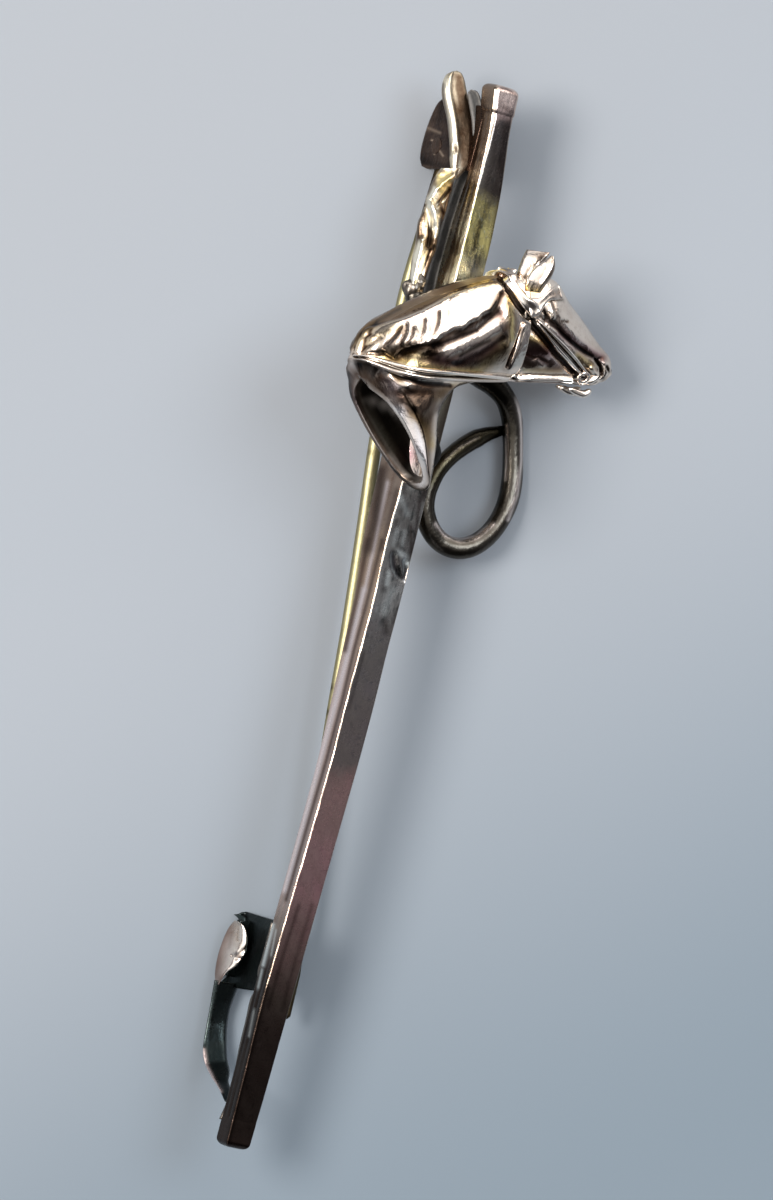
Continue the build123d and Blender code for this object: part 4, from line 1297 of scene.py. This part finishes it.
def buildStraps():
    # Painted shade on the straps, darker still in the groove of a double strap
    look = metal("strapMetal", "strap", tints=(
        ("shaded", (0.38, 0.30, 0.27), "MULTIPLY"), ("groove", (0.06, 0.05, 0.05), "MULTIPLY")))
    for name, (line, widths, height, section) in straps.items():
        length = np.linalg.norm(np.diff(viewSpot(line), axis=0), axis=1).sum()
        count = max(int(length / strapStep), 18)
        path, normals = onHorse(line, count, relax=14)
        across = unit(np.cross(unit(np.gradient(path, axis=0)), normals))
        outline = smoothPath(strapShapes[section], 33)
        width = spreadOver(widths, count)
        taper = roundedEnds(count, length, 0.2)
        rings = []
        for i in range(count):
            x = outline[:, 0] * width[i] / 2 * (0.4 + 0.6 * taper[i])
            y = outline[:, 1] * height * (0.3 + 0.7 * taper[i])
            rings.append(path[i] + np.outer(x, across[i]) + np.outer(y, normals[i]))
        late = int(count * 0.09) if name == "rein" else 0  # the far rein starts further in
        points, faces = joined((skinRings(rings), farSide(*skinRings(rings[late:]))))
        # Painted shade in the middle groove of a double strap
        groove = np.exp(-(outline[:, 0] / 0.20) ** 2) * (section == "double")
        finishPiece(name, points, faces, look, {
            "groove": np.r_[np.tile(groove, count), 0, 0, np.tile(groove, count - late), 0, 0],
            "shaded": stroked(points,
                (3.0, 0.85, 358, 362, 380, 368, 400, 376, 420, 380.5, 440, 382),
                (3.0, 0.65, 524, 322, 519, 344, 511, 364), (1.8, 0.6, 440, 382, 480, 382, 560, 383),
                (1.5, 0.4, 548, 334, 566, 350, 582, 370))})
    for name, (left, right, lift, thick) in ribbons.items():
        edges = [smoothPath(np.reshape(edge, (-1, 2)), 70) for edge in (left, right)]
        path, normals = onHorse((edges[0] + edges[1]) / 2, 70, relax=20)
        near = drawnBand(left, right, path @ upView + lift, (thick, thick), ribbonSection, rows=70)
        points, faces = joined((near, farSide(*near)))
        finishPiece(name, points, faces, look, {"shaded": stroked(points,
            (6, 0.55, 553, 292, 560, 296), (2.0, 0.5, 496, 270, 499, 277),
            (1.6, 0.5, 533, 317, 540, 314, 545, 306))})
    # The crown strap ends in a small curl behind the ears
    curl = ((0.62, 18.0, 4.30), (0.52, 18.26, 4.15), (0.46, 18.40, 3.7), (0.46, 18.42, 3.25),
            (0.52, 18.30, 2.95), (0.62, 18.0, 2.8))
    points, faces = skinRings(wireRings(smoothPath(curl, 60), 0.22, 0.13, (1, 0.6, 0), square=0.5))
    finishPiece("crownTop", points, faces, look, {"shaded": np.full(len(points), 0.6)})
    return look


strapMetal = buildStraps()

bit = {"radius": 0.27, "wire": 0.085, "lift": 0.16, "at": (580, 376, 585, 375)}


# Bit ring at the corner of the mouth
def buildBit():
    path, normals = onHorse(bit["at"], 8)
    middle = path.mean(0) + normals.mean(0) * bit["lift"]
    out = unit(normals.mean(0)[None])[0]
    side = unit(np.cross(out, (0.3, 1, 0))[None])[0]
    up = np.cross(out, side)
    tube = fullCircle(14)
    rings = []
    for angle in fullCircle(40):
        radial = math.cos(angle) * side + math.sin(angle) * up
        rings.append(middle + bit["radius"] * radial + bit["wire"] * (
            np.outer(np.cos(tube), radial) + np.outer(np.sin(tube), out)))
    near = hoopSkin(np.array(rings))
    points, faces = joined((near, farSide(*near)))
    finishPiece("bitRings", points, faces, strapMetal, {"shaded": np.full(len(points), 0.35)},
                spread=2)


buildBit()
print("bridle done")

# Keeper, lash and loop
keeper = {
    "left": (452, 71.4, 446, 75, 442.5, 83, 441.7, 94, 444, 106, 447, 120, 449, 140, 449.8, 162,
             452, 172, 455, 178.5),
    "right": (457, 70.6, 461.5, 73.3, 464.5, 80, 466.8, 91, 470, 106, 473.5, 125, 474.5, 142,
              473.5, 156, 469.5, 166, 462, 174, 457.5, 179),
    "rises": (-1.25, -1.1, -0.9, -0.6, -0.3, 0.0, 0.2),
    "thicks": (0.16, 0.40, 0.45, 0.45, 0.42, 0.36, 0.2),
    "section": [(-1, -0.6), (-1.0, 0.0), (-0.9, 0.45), (-0.74, 0.80), (-0.55, 1.0), (-0.34, 0.96),
                (-0.10, 0.60), (0.45, 0.28), (0.85, 0.02), (1.0, -0.35), (0.8, -0.9), (0, -1),
                (-0.8, -0.95)],
    "dent": 0.10, "jointRipple": 0.012,
}
joints = {  # left and right edges in the picture, heights, thickness
    "topJoint": ((468, 92, 468, 96, 469, 104, 472, 124, 472, 150, 466, 170),
                 (471, 89.5, 478, 93, 482, 108, 483, 130, 478, 158, 474, 176),
                 (-0.85, -0.6, -0.45, -0.25, -0.2), (0.2, 0.42, 0.45, 0.4, 0.2)),
    "lashGapShade": ((462, 164, 454, 184, 446, 205, 440, 228, 434, 248, 428, 266, 423, 284, 419, 298),
                  (475, 164, 464, 190, 456, 212, 450, 230, 445, 248, 441, 264, 437, 280, 434, 296),
                  (-0.75, -0.8, -0.85, -0.85, -0.8), (0.25, 0.3, 0.3, 0.3, 0.3)),
}
jointSection = [(-1, -0.8), (-1, 0.5), (-0.6, 0.75), (-0.1, 0.5), (0.4, 0.6), (0.8, 0.9),
                (1, 0.7), (1, -0.8), (0, -1)]


def buildKeeper():
    points, faces = drawnBand(keeper["left"], keeper["right"], keeper["rises"], keeper["thicks"],
                              keeper["section"], rows=130, tilt=-0.05, around=64)
    dent = stroked(points, (2.4, 1.0, 455.5, 146, 456, 151))
    points = points - np.outer(keeper["dent"] * dent, upView)
    # Painted shade, brown, on the keeper's right face and its edges, and a painted highlight down
    # its left
    masks = {
        "browned": np.maximum(stroked(points,
            (7, 0.96, 459, 78, 464, 95, 468, 115, 469.5, 140, 467, 165),
            (4.5, 0.85, 460, 96, 462, 130, 462, 165),
            (1.8, 0.9, 443, 84, 443.5, 98, 448, 124, 449.5, 155), (1.5, 0.35, 449, 84, 452, 100),
            (3, 0.5, 452, 73, 460, 77), (1.6, 0.7, 456, 146, 456.5, 151),
            (3, 0.7, 463, 172, 458, 179)), 0.94 * patched(points,
                (456.5, 72, 464, 80, 470, 104, 475, 128, 475, 150, 469, 166, 462, 173,
                 460.5, 150, 460.5, 128, 457.5, 104, 454.5, 86), 2.2)),
        "creamed": stroked(points,
            (3.0, 0.6, 447, 80, 446.5, 92, 450, 112, 453.5, 134, 455, 143),
            (3.4, 0.6, 455.5, 156, 455, 172)),
    }
    look = metal("lashMetal", "lash", tints=(
        ("browned", (0.13, 0.088, 0.07), "MULTIPLY"), ("yellowed", (0.86, 0.70, 0.34), "MIX"),
        ("creamed", (0.98, 0.93, 0.78), "MIX")))
    finishPiece("keeperBand", points, faces, look, masks, spread=4)
    # Dull metal in the joint from keeper to stock, and a dark band of it in the gap between lash
    # and stock, standing in for the shadow there
    dull = metal("jointMetal", "joint")
    for name, (left, right, rises, thicks) in joints.items():
        points, faces = drawnBand(left, right, rises, thicks, jointSection, rows=120, around=40)
        ripple = np.sin(points[:, 1] * 2.3 + 1) * np.sin(points[:, 1] * 5.1)
        points = points + np.outer(keeper["jointRipple"] * ripple, upView)
        finishPiece(name, points, faces, dull, hollowAt=0.03)
    return look


lashMetal = buildKeeper()

lash = {
    "left": (441, 168, 436, 175, 431.5, 183, 426.8, 196, 423.4, 209.5, 417.5, 223, 415.3, 243,
             411.6, 259.5, 409, 282, 407.5, 294),
    "right": (460, 168, 457, 175, 453.5, 184, 450.5, 196, 445.5, 214, 440.5, 228, 437, 248,
              429.5, 266, 424.5, 284, 423.5, 296),
    "rises": (0.16, 0.20, 0.15, 0.10, 0.07), "thicks": (0.30, 0.42, 0.44, 0.42, 0.36),
    "section": [(-1, -0.3), (-0.85, 0.45), (-0.45, 0.85), (0, 0.95), (0.45, 0.85), (0.85, 0.45),
                (1, -0.3), (0.6, -0.95), (-0.6, -0.95)],
    # Turns of the thong: raised folds and the creases between them
    "folds": ((3.4, 0.24, 455, 176, 446, 181, 436.5, 190, 430, 200),
              (3.0, 0.24, 430, 200, 434.5, 212, 437.5, 228, 435, 244),
              (3.2, 0.20, 423, 240, 420, 254, 416.5, 268, 413, 284),
              (3.0, 0.10, 421, 212, 418, 226, 419, 238)),
    "creases": ((2.0, 0.22, 449, 190, 442, 198, 437, 205),
                (2.2, 0.24, 426, 205, 429, 220, 430, 234, 428, 246),
                (2.0, 0.16, 441, 205, 443, 214, 441, 226),
                (2.4, 0.16, 430, 250, 426, 262, 421, 276)),
    "lumps": 0.014,
}


def buildLash():
    points, faces = drawnBand(lash["left"], lash["right"], lash["rises"], lash["thicks"],
                              lash["section"], rows=170, around=72)
    height = lash["lumps"] * np.sin(points[:, 1] * 11) * np.sin(
        points[:, 1] * 4.7 + points[:, 0] * 6)
    for lines, sign in ((lash["folds"], 1), (lash["creases"], -1)):
        for fold in lines:
            height += sign * stroked(points, fold)
    points = points + np.outer(height * (points @ upView > 0.05), upView)
    # Painted shade, brown, between the lash's folds and down its right side, darker at its end, and
    # painted highlights on its folds; a yellow patch where it leaves the keeper
    masks = {
        "browned": np.clip(stroked(points,
            (4.6, 0.95, 424, 214, 419.5, 226, 418.5, 238),
            (4.4, 0.96, 451, 186, 446, 205, 441.5, 222, 437.5, 244, 431, 262, 426, 284),
            (3.6, 0.92, 433, 240, 430, 254, 427, 268, 424, 284),
            (3.0, 0.75, 428, 216, 430, 230, 428, 242), (1.8, 0.8, 411, 262, 408.5, 285),
            (3.0, 0.85, 434, 178, 427, 192), (2.4, 0.6, 436, 240, 430, 250),
            (2.6, 0.7, 452, 184, 447, 196))
            + rubbed(points, (412, 293, 10, 0.75), (424, 294, 8, 0.7)), 0, 1),
        "yellowed": patched(points,
            (437, 174, 450, 171, 453, 178, 448, 188, 441, 196, 437, 190), 2.0),
        "creamed": 0.95 * np.clip(patched(points,
            (434, 186, 428, 198, 426, 210, 428, 220, 432, 230, 435.5, 237, 438.5, 232, 439, 220,
             437, 205, 439, 192), 1.6) + patched(points,
                (419, 240, 414, 256, 411, 272, 410.5, 284, 418.5, 284, 423, 276, 425, 256), 1.6)
            * (1 - stroked(points, (1.2, 0.6, 415, 264, 416, 282))), 0, 1),
    }
    finishPiece("twistedLash", points, faces, lashMetal, masks, spread=6, hollowAt=0.03)


buildLash()

loop = {  # line in the picture with its height over the stock's middle, and wire radius
    "line": ((413, 288, 0.1), (420, 318, -0.15), (438, 346, -0.88), (462, 364, -1.7),
             (482, 376, -2.3), (496, 387, -2.75), (506, 400, -3.15), (511.5, 417, -3.5),
             (512.8, 436, -3.68), (512.8, 458, -3.76), (512, 480, -3.74), (508, 501, -3.6),
             (499.5, 520, -3.3), (488, 535, -2.95), (474, 545, -2.6), (460, 548.5, -2.35),
             (446.5, 545.5, -2.1), (435.5, 537, -1.85), (428, 524, -1.6), (424.5, 509, -1.45),
             (426, 495, -1.42), (431, 482, -1.47), (438, 470, -1.6), (447.5, 459, -1.85),
             (458, 450, -2.2), (471, 441.5, -2.65), (485, 435, -3.2), (498, 431.5, -3.70),
             (507, 429, -4.0)),
    "radii": ((0, 0.45), (0.14, 0.62), (0.24, 0.68), (0.30, 0.54), (0.70, 0.54), (0.82, 0.46),
              (0.93, 0.46), (1, 0.22)),
    "count": 340, "length": 31.0, "uneven": 0.025,
}


def buildLoop():
    count = loop["count"]
    along = np.linspace(0, 1, count)
    radius = np.interp(along, *zip(*loop["radii"]))
    radius *= roundedEnds(count, loop["length"], 0.4) * (1 + loop["uneven"] * np.sin(along * 43))
    path = drawnLine(loop["line"], count)
    points, faces = skinRings(wireRings(path, radius, radius * 0.97, around=34))
    # Painted light on the loop: shade under the jaw and on its inner side, and highlights along its
    # edges
    masks = {
        "tail": stroked(points, (9, 0.75, 500, 431, 471, 441.5, 447, 459, 433, 478)),
        "shaded": stroked(points,
            (4.5, 0.85, 494, 388, 503, 408, 504.5, 440, 504, 480, 499, 503),
            (12, 0.85, 470, 370, 490, 382, 505, 398), (4, 0.5, 466, 444, 496, 434),
            (5, 0.8, 423, 490, 420, 510, 428, 538), (6, 0.6, 440, 470, 428, 488),
            (8, 0.8, 498, 436, 507, 429)),
        "paintedEdgeHighlight": stroked(points,
            (1.5, 0.85, 519, 402, 521.5, 430, 521.5, 462, 517, 495, 508, 520),
            (1.3, 0.55, 506.5, 425, 507, 455, 506, 480),
            (2.0, 0.75, 436, 524, 446, 535, 460, 540, 476, 537, 492, 524),
            (1.4, 0.08, 445, 458, 460, 446, 478, 437), (2.2, 0.7, 517, 398, 521, 415)),
    }
    look = metal("wireMetal", "wire", tints=(
        ("tail", (0.62, 0.58, 0.36), "MULTIPLY"), ("shaded", (0.22, 0.23, 0.215), "MULTIPLY"),
        ("paintedEdgeHighlight", (0.92, 0.80, 0.74), "MIX")))
    finishPiece("wireLoop", points, faces, look, masks, spread=6)


buildLoop()
print("lash and loop done")


# Solder: a lump with soft bumps
def lump(middle, size, seed, rough=0.18):
    ball = bmesh.new()
    bmesh.ops.create_icosphere(ball, subdivisions=4, radius=1.0)
    spots = np.array([v.co[:] for v in ball.verts])
    faces = [[v.index for v in f.verts] for f in ball.faces]
    ball.free()
    draws = np.random.default_rng(seed)
    bulge = np.zeros(len(spots))
    for k in range(26):
        direction = unit(draws.normal(size=(1, 3)))[0]
        bulge += draws.uniform(-1, 1) * rough * np.exp(-((1 - spots @ direction) / 0.12) ** 2)
    return spots * (1 + bulge)[:, None] * np.array(size) + np.array(middle), faces


solderSpots = (  # middle, and half sizes in mm
    ((-1.66, 16.55, -0.98), (0.50, 0.55, 0.42)),
    ((-1.35, 16.25, -0.85), (0.42, 0.40, 0.36)),
    ((-1.50, 16.95, -0.72), (0.34, 0.40, 0.26)),
    ((0.80, 9.6, -0.30), (0.34, 0.9, 0.32)),
)
seam = {  # metal run along a joint
    "left": (271, 922, 262.5, 955, 257.5, 972, 258, 986, 250.5, 998, 245.5, 1020, 240.5, 1040,
             236.5, 1060, 233, 1080, 228.5, 1097, 219, 1119),
    "right": (280, 925, 273, 960, 267, 985, 261, 1010, 255, 1035, 250, 1058, 244, 1082,
              238, 1102, 232, 1120),
    "rises": (0.5, 0.48, 0.42, 0.35, 0.25, 0.1), "thicks": (0.1, 0.35, 0.38, 0.38, 0.36, 0.15),
    "section": [(-1, -0.5), (-0.92, 0.25), (-0.6, 0.62), (-0.1, 0.85), (0.5, 0.95), (1, 0.9),
                (1, -0.8), (0, -1)],
}
seamWobble = 0.020


def buildSolder():
    parts = [lump(middle, size, seed + 3) for seed, (middle, size) in enumerate(solderSpots)]
    spots, polygons = drawnBand(*seam.values(), rows=140, around=36)
    wobble = seamWobble * np.sin(spots[:, 1] * 3.3) * np.sin(spots[:, 1] * 7 + 2)
    parts.append((spots + np.outer(wobble, upView), polygons))
    finishPiece("solderLumps", *joined(parts), metal("solderMetal", "solder"))


buildSolder()
print("solder done")

# Hinge
plate = {
    "width": 1.42, "gap": 0.72, "edge": 0.05, "pivotUp": 23.95, "pivotOut": -3.606572,
    "seenHeight": -2.4,  # height at which the near cheek's outline is read
    "farDeepest": -4.66,  # the far cheek stops above the floor
    # Outline of the near cheek in the picture, and its right edge
    "near": (451, 170, 435, 169, 426, 168, 420.8, 165, 419.3, 157, 420.6, 147, 424.5, 132,
             430, 117, 436, 104.5, 442, 98.5),
    "right": (452, 168, 456, 150, 460, 135, 464, 118, 468, 104, 470, 99),
    "hole": 0.28, "headRadius": 0.44, "headHeight": 0.03, "headEdge": 0.025,
}


# A sheet piece: an outline in v and w, from u=low to u=high, with softened edges
def boxFrom(outline, low, high, edge):
    shape = bmesh.new()
    near = [shape.verts.new((low, v, w)) for v, w in outline]
    far = [shape.verts.new((high, v, w)) for v, w in outline]
    shape.faces.new(near)
    shape.faces.new(far[::-1])
    for i in range(len(outline)):
        j = (i + 1) % len(outline)
        shape.faces.new((near[j], near[i], far[i], far[j]))
    bmesh.ops.recalc_face_normals(shape, faces=shape.faces)
    sharp = [e for e in shape.edges if len(e.link_faces) == 2 and e.calc_face_angle(0) > 0.5]
    bmesh.ops.bevel(shape, geom=sharp, offset=edge, segments=3, affect="EDGES", profile=0.5)
    bmesh.ops.triangulate(shape, faces=[f for f in shape.faces if len(f.verts) > 4])
    shape.verts.ensure_lookup_table()
    points = np.array([v.co[:] for v in shape.verts])
    faces = [[v.index for v in f.verts] for f in shape.faces]
    shape.free()
    return points, faces


# A flat cheek that stands off the stock's side, between two edges drawn in the picture
def drawnPlate(left, right, face, sheet, rows=60, columns=40, bulge=None):
    side = np.linspace(-1, 1, columns)
    across = np.r_[side, side[::-1]]
    outer = np.abs(side) > 0.985
    deep = np.r_[np.where(outer, 0.15, 0.0), np.where(outer, 0.85, 1.0)]
    rings = []
    for i, (middle, reach) in enumerate(zip(*drawnEdges(left, right, rows))):
        seen = middle + np.outer(across, reach)
        lift = bulge(across, i / (rows - 1)) if bulge else 0.0
        flat = seen
        for step in range(3):
            up = np.maximum((flat[:, 0] * rollCos - face) / rollSin, picture["lowest"])
            flat = placedAt(seen, up)
        rings.append(uprightPoints(flat, up) + np.outer(deep * sheet + lift, (1, 0, 0)))
    return skinRings(rings)


def buildHinge():
    back = float(stockBack(plate["pivotUp"]).mean())
    root = back + 0.16
    half, gap = plate["width"] / 2, plate["gap"] / 2
    near = placedAt(viewSpot(plate["near"]), plate["seenHeight"])
    outline = [(v, (h + half * rollCos) / rollSin) for h, v in near]
    far = [(v, max(w, plate["farDeepest"])) for v, w in outline]
    top, bottom = outline[-1][0], outline[0][0]
    # Near cheek, finely divided so that it takes its painted shade and scratches
    cheek = drawnPlate(plate["near"][6:], plate["right"], -half, half - gap, rows=70)
    edge, low, high = plate["edge"], (bottom, root), (top, root)
    points, faces = joined((
        cheek, boxFrom([low, *outline, high], -half + 0.02, -gap, edge),
        boxFrom([low, *far, high], gap, half, edge),
        boxFrom([(bottom, back - 0.33), low, high, (top, back - 0.33)],
                -gap - 0.02, gap + 0.02, 0.01)))
    masks = {
        "scratched": stroked(points,
            (0.8, 0.8, 431.5, 140, 436, 142), (0.8, 0.8, 433, 148, 434.5, 154),
            (0.7, 0.7, 437.5, 139, 439, 144.5), (0.9, 0.6, 439, 150, 443, 156),
            (1.4, 0.35, 428, 128, 440, 133)),
        "shaded": stroked(points,
            (6, 0.85, 421, 160, 432, 165, 450, 168), (6, 0.85, 444, 102, 440, 118),
            (5, 0.6, 448, 120, 452, 160), (4, 0.97, 483, 106, 480, 125, 474, 150, 467, 177),
            (3, 0.6, 424, 140, 422, 156), (6, 0.4, 430, 146, 436, 158)),
    }
    look = metal("hingeMetal", "hinge", tints=(
        ("shaded", (0.18, 0.15, 0.15), "MULTIPLY"), ("scratched", (0.62, 0.46, 0.33), "MIX")))
    finishPiece("hingeBracket", points, faces, look, masks, spread=2, hollowAt=0.05)
    return look


hingeMetal = buildHinge()


def buildRivet():
    half, proud, edge = plate["width"] / 2, plate["headHeight"], plate["headEdge"]
    radius, hole = plate["headRadius"], plate["hole"]
    turns = np.linspace(0, math.pi / 2, 7)
    profile = [(-half - proud + edge * (1 - math.cos(t)), radius - edge * (1 - math.sin(t)))
               for t in turns]
    profile += [(-half, radius), (-half, hole), (half, hole), (half, radius)]
    profile += [(half + proud - edge * (1 - math.sin(t)), radius - edge * (1 - math.cos(t)))
                for t in turns]
    angle = fullCircle(40)
    rings = [np.stack([np.full(40, across), plate["pivotUp"] + out * np.cos(angle),
                       plate["pivotOut"] + out * np.sin(angle)], 1) for across, out in profile]
    points, faces = skinRings(rings)
    finishPiece("hingeRivet", points, faces, hingeMetal, {"shaded": np.full(len(points), 0.4)},
                node="hinge_rivet", slot="rivet_metal", spread=1, hollowAt=0.012)


buildRivet()
print("hinge done")

# Pin
pin = {
    "radius": 0.35, "point": 2.2, "tip": 0.16,
    "line": ((0, 23.45, -3.63), (-0.06, 19.5, -3.80), (-0.08, 15.8, -3.92), (0.11, 9.5, -3.61),
             (0.57, 4.2, -3.29), (0.96, -0.6, -3.02), (1.30, -6.0, -2.72), (1.85, -12.5, -2.35),
             (2.58, -20.75, -1.95)),
    "eyeHalf": 0.32, "eyeRadius": 0.72, "eyeHole": 0.31, "eyeEdge": 0.06,
}


def buildPin():
    count = 300
    path = smoothPath(pin["line"], count)
    length = np.linalg.norm(np.diff(path, axis=0), axis=1).sum()
    sharpened = np.clip((np.linspace(0, length, count) - length) / pin["point"] + 1, 0, 1)
    radius = pin["radius"] + (pin["tip"] - pin["radius"]) * sharpened
    radius *= roundedEnds(count, length, 0.1, 0, 1.0) * 0.985
    # Flat eye round the rivet
    h, r, hole, edge = pin["eyeHalf"], pin["eyeRadius"], pin["eyeHole"], pin["eyeEdge"]
    across, out = np.array((
        (-h, hole + edge), (-h + edge, hole), (h - edge, hole), (h, hole + edge), (h, r - edge),
        (h - edge * 0.3, r - edge * 0.3), (h - edge, r), (-h + edge, r),
        (-h + edge * 0.3, r - edge * 0.3), (-h, r - edge))).T
    rings = np.array([np.stack([across, plate["pivotUp"] + out * math.cos(angle),
                                plate["pivotOut"] + out * math.sin(angle)], 1)
                      for angle in fullCircle(48)])
    points, faces = joined((skinRings(wireRings(path, radius, radius, around=24)),
                            hoopSkin(rings)))
    look = metal("pinMetal", "pin", tints=(("browned", (0.15, 0.12, 0.11), "MULTIPLY"),))
    # Painted shade, brown, where the pin runs under the hinge and near the catch, down its right
    # side, and on its tip beside the stock
    masks = {"browned": np.clip(smoothStep(17.0, 21.0, points[:, 1]) + 0.9 * smoothStep(
        -15.0, -17.0, points[:, 1]) + 0.25 * stroked(points,
            (2.6, 1.0, 380, 452, 372.5, 500, 365, 548, 352, 612, 341, 660)) + rubbed(
                points, (331, 687, 3, 0.9), (327, 712, 3, 0.9), (371, 452, 3, 0.7),
                (290, 1015, 12, 0.7)), 0, 1)}
    finishPiece("pinStem", points, faces, look, masks, body="pin", node="pin_stem",
                slot="pin_wire", hollowAt=0.012)


buildPin()
print("pin done")

# Catch
hook = {
    "top": -16.15, "bottom": -19.65, "width": 1.5, "sheet": 0.35, "depth": 4.15,
    "webLeft": (234, 914.5, 239, 921, 238.5, 936, 237, 952, 231, 970, 217, 985),
    "webRight": (246, 911.5, 297, 929, 294, 944, 288, 960, 283, 976, 270, 993),
    "tongueLeft": (235, 920, 228.5, 928, 222.5, 941, 217.5, 957, 215, 972, 215.2, 984),
    "tongueRight": (238, 921.5, 244.5, 927, 247.5, 938, 246.5, 950, 242.5, 958.5, 236.5, 966,
                    227, 972.5, 218.5, 985),
    "tongueRises": (-2.45, -2.5, -2.55, -2.8, -3.2), "tongueThicks": (0.5, 0.95, 1.0, 0.8, 0.3),
    "tongueSection": [(-1, -0.95), (-0.6, -0.58), (-0.2, -0.18), (0.2, 0.16), (0.5, 0.35),
                      (0.75, 0.44), (0.92, 0.44), (1.0, 0.32), (0.95, 0.15), (0.6, 0.05),
                      (0.2, -0.16), (-0.2, -0.5), (-0.6, -0.9), (-0.95, -1.2)],
    "stripLeft": (214.5, 980, 210.5, 1003, 206, 1028, 203, 1048, 204.5, 1062, 211, 1076,
                  218.5, 1088, 225, 1102),
    "stripRight": (238, 984, 232.5, 999, 228.5, 1012, 226, 1030, 226, 1055, 229, 1071, 228.5, 1083,
                   236, 1099),
    "stripRises": (-3.45, -3.55, -3.55, -3.4, -2.9, -1.8, -0.25),
}


def buildCatch():
    far = float(solidBack(hook["bottom"])) - hook["depth"]
    half, sheet = hook["width"] / 2, hook["sheet"]
    # The web and strip take a near-black copy of the hook's metal as painted shade, the tongue a
    # bright copy as lit, and the strip a painted highlight along its outer edge
    look = metal("shadedCatchMetal", "catch", tints=(("paintedEdgeHighlight", (0.80, 0.64, 0.60), "MIX"),))
    # Web and floor of the hook: a bent sheet
    web = drawnPlate(hook["webLeft"], hook["webRight"], half - sheet, sheet,
                     bulge=lambda across, share: -0.05 * np.sin(across * 4 + share * 5))
    low, high = hook["bottom"] + 0.25, hook["top"] - 0.35
    floor = boxFrom([(low, far), (low, far + sheet), (high, far + sheet), (high, far)],
                    -half + 0.62, half - 0.02, 0.05)
    finishPiece("catchWeb", *joined((web, floor)), look, hollowAt=0.05)
    # Tongue: the bright bent plate
    points, faces = drawnBand(hook["tongueLeft"], hook["tongueRight"], hook["tongueRises"],
                              hook["tongueThicks"], hook["tongueSection"], around=72)
    crumple = stroked(points,
        (2.4, 0.10, 247, 948, 239, 955, 233, 956), (1.8, 0.08, 244, 958, 236, 959),
        (2.0, 0.05, 240, 924, 238, 940))
    points = points - np.outer(crumple, upView)
    masks = {
        "shaded": stroked(points,
            (9, 0.85, 226, 925, 217, 945, 213, 975), (1.8, 0.9, 238, 956, 241, 958),
            (1.2, 0.6, 246, 947, 240, 953), (2.0, 0.7, 238, 918, 245, 926),
            (4, 0.7, 222, 978, 217, 985), (1.5, 0.3, 232, 932, 229, 948)),
        "pinkish": stroked(points, (9, 0.8, 226, 930, 219, 950, 216, 975)),
    }
    bright = metal("tongueMetal", "strap", amount=0.2, patch=1.2, tints=(
        ("pinkish", (0.92, 0.74, 0.70), "MULTIPLY"), ("shaded", (0.28, 0.22, 0.20), "MULTIPLY")))
    finishPiece("catchTongue", points, faces, bright, masks, hollowAt=0.03)
    # Bowed strip down to the stock's end
    points, faces = drawnBand(hook["stripLeft"], hook["stripRight"], hook["stripRises"],
                              (0.17, 0.17), ribbonSection, rows=120, tilt=-0.2, around=44)
    finishPiece("catchStrip", points, faces, look, hollowAt=0.03, masks={
        "paintedEdgeHighlight": stroked(points, (2.0, 0.8, 203, 1050, 205, 1063, 212, 1077, 221, 1091))})


buildCatch()
print("catch done")
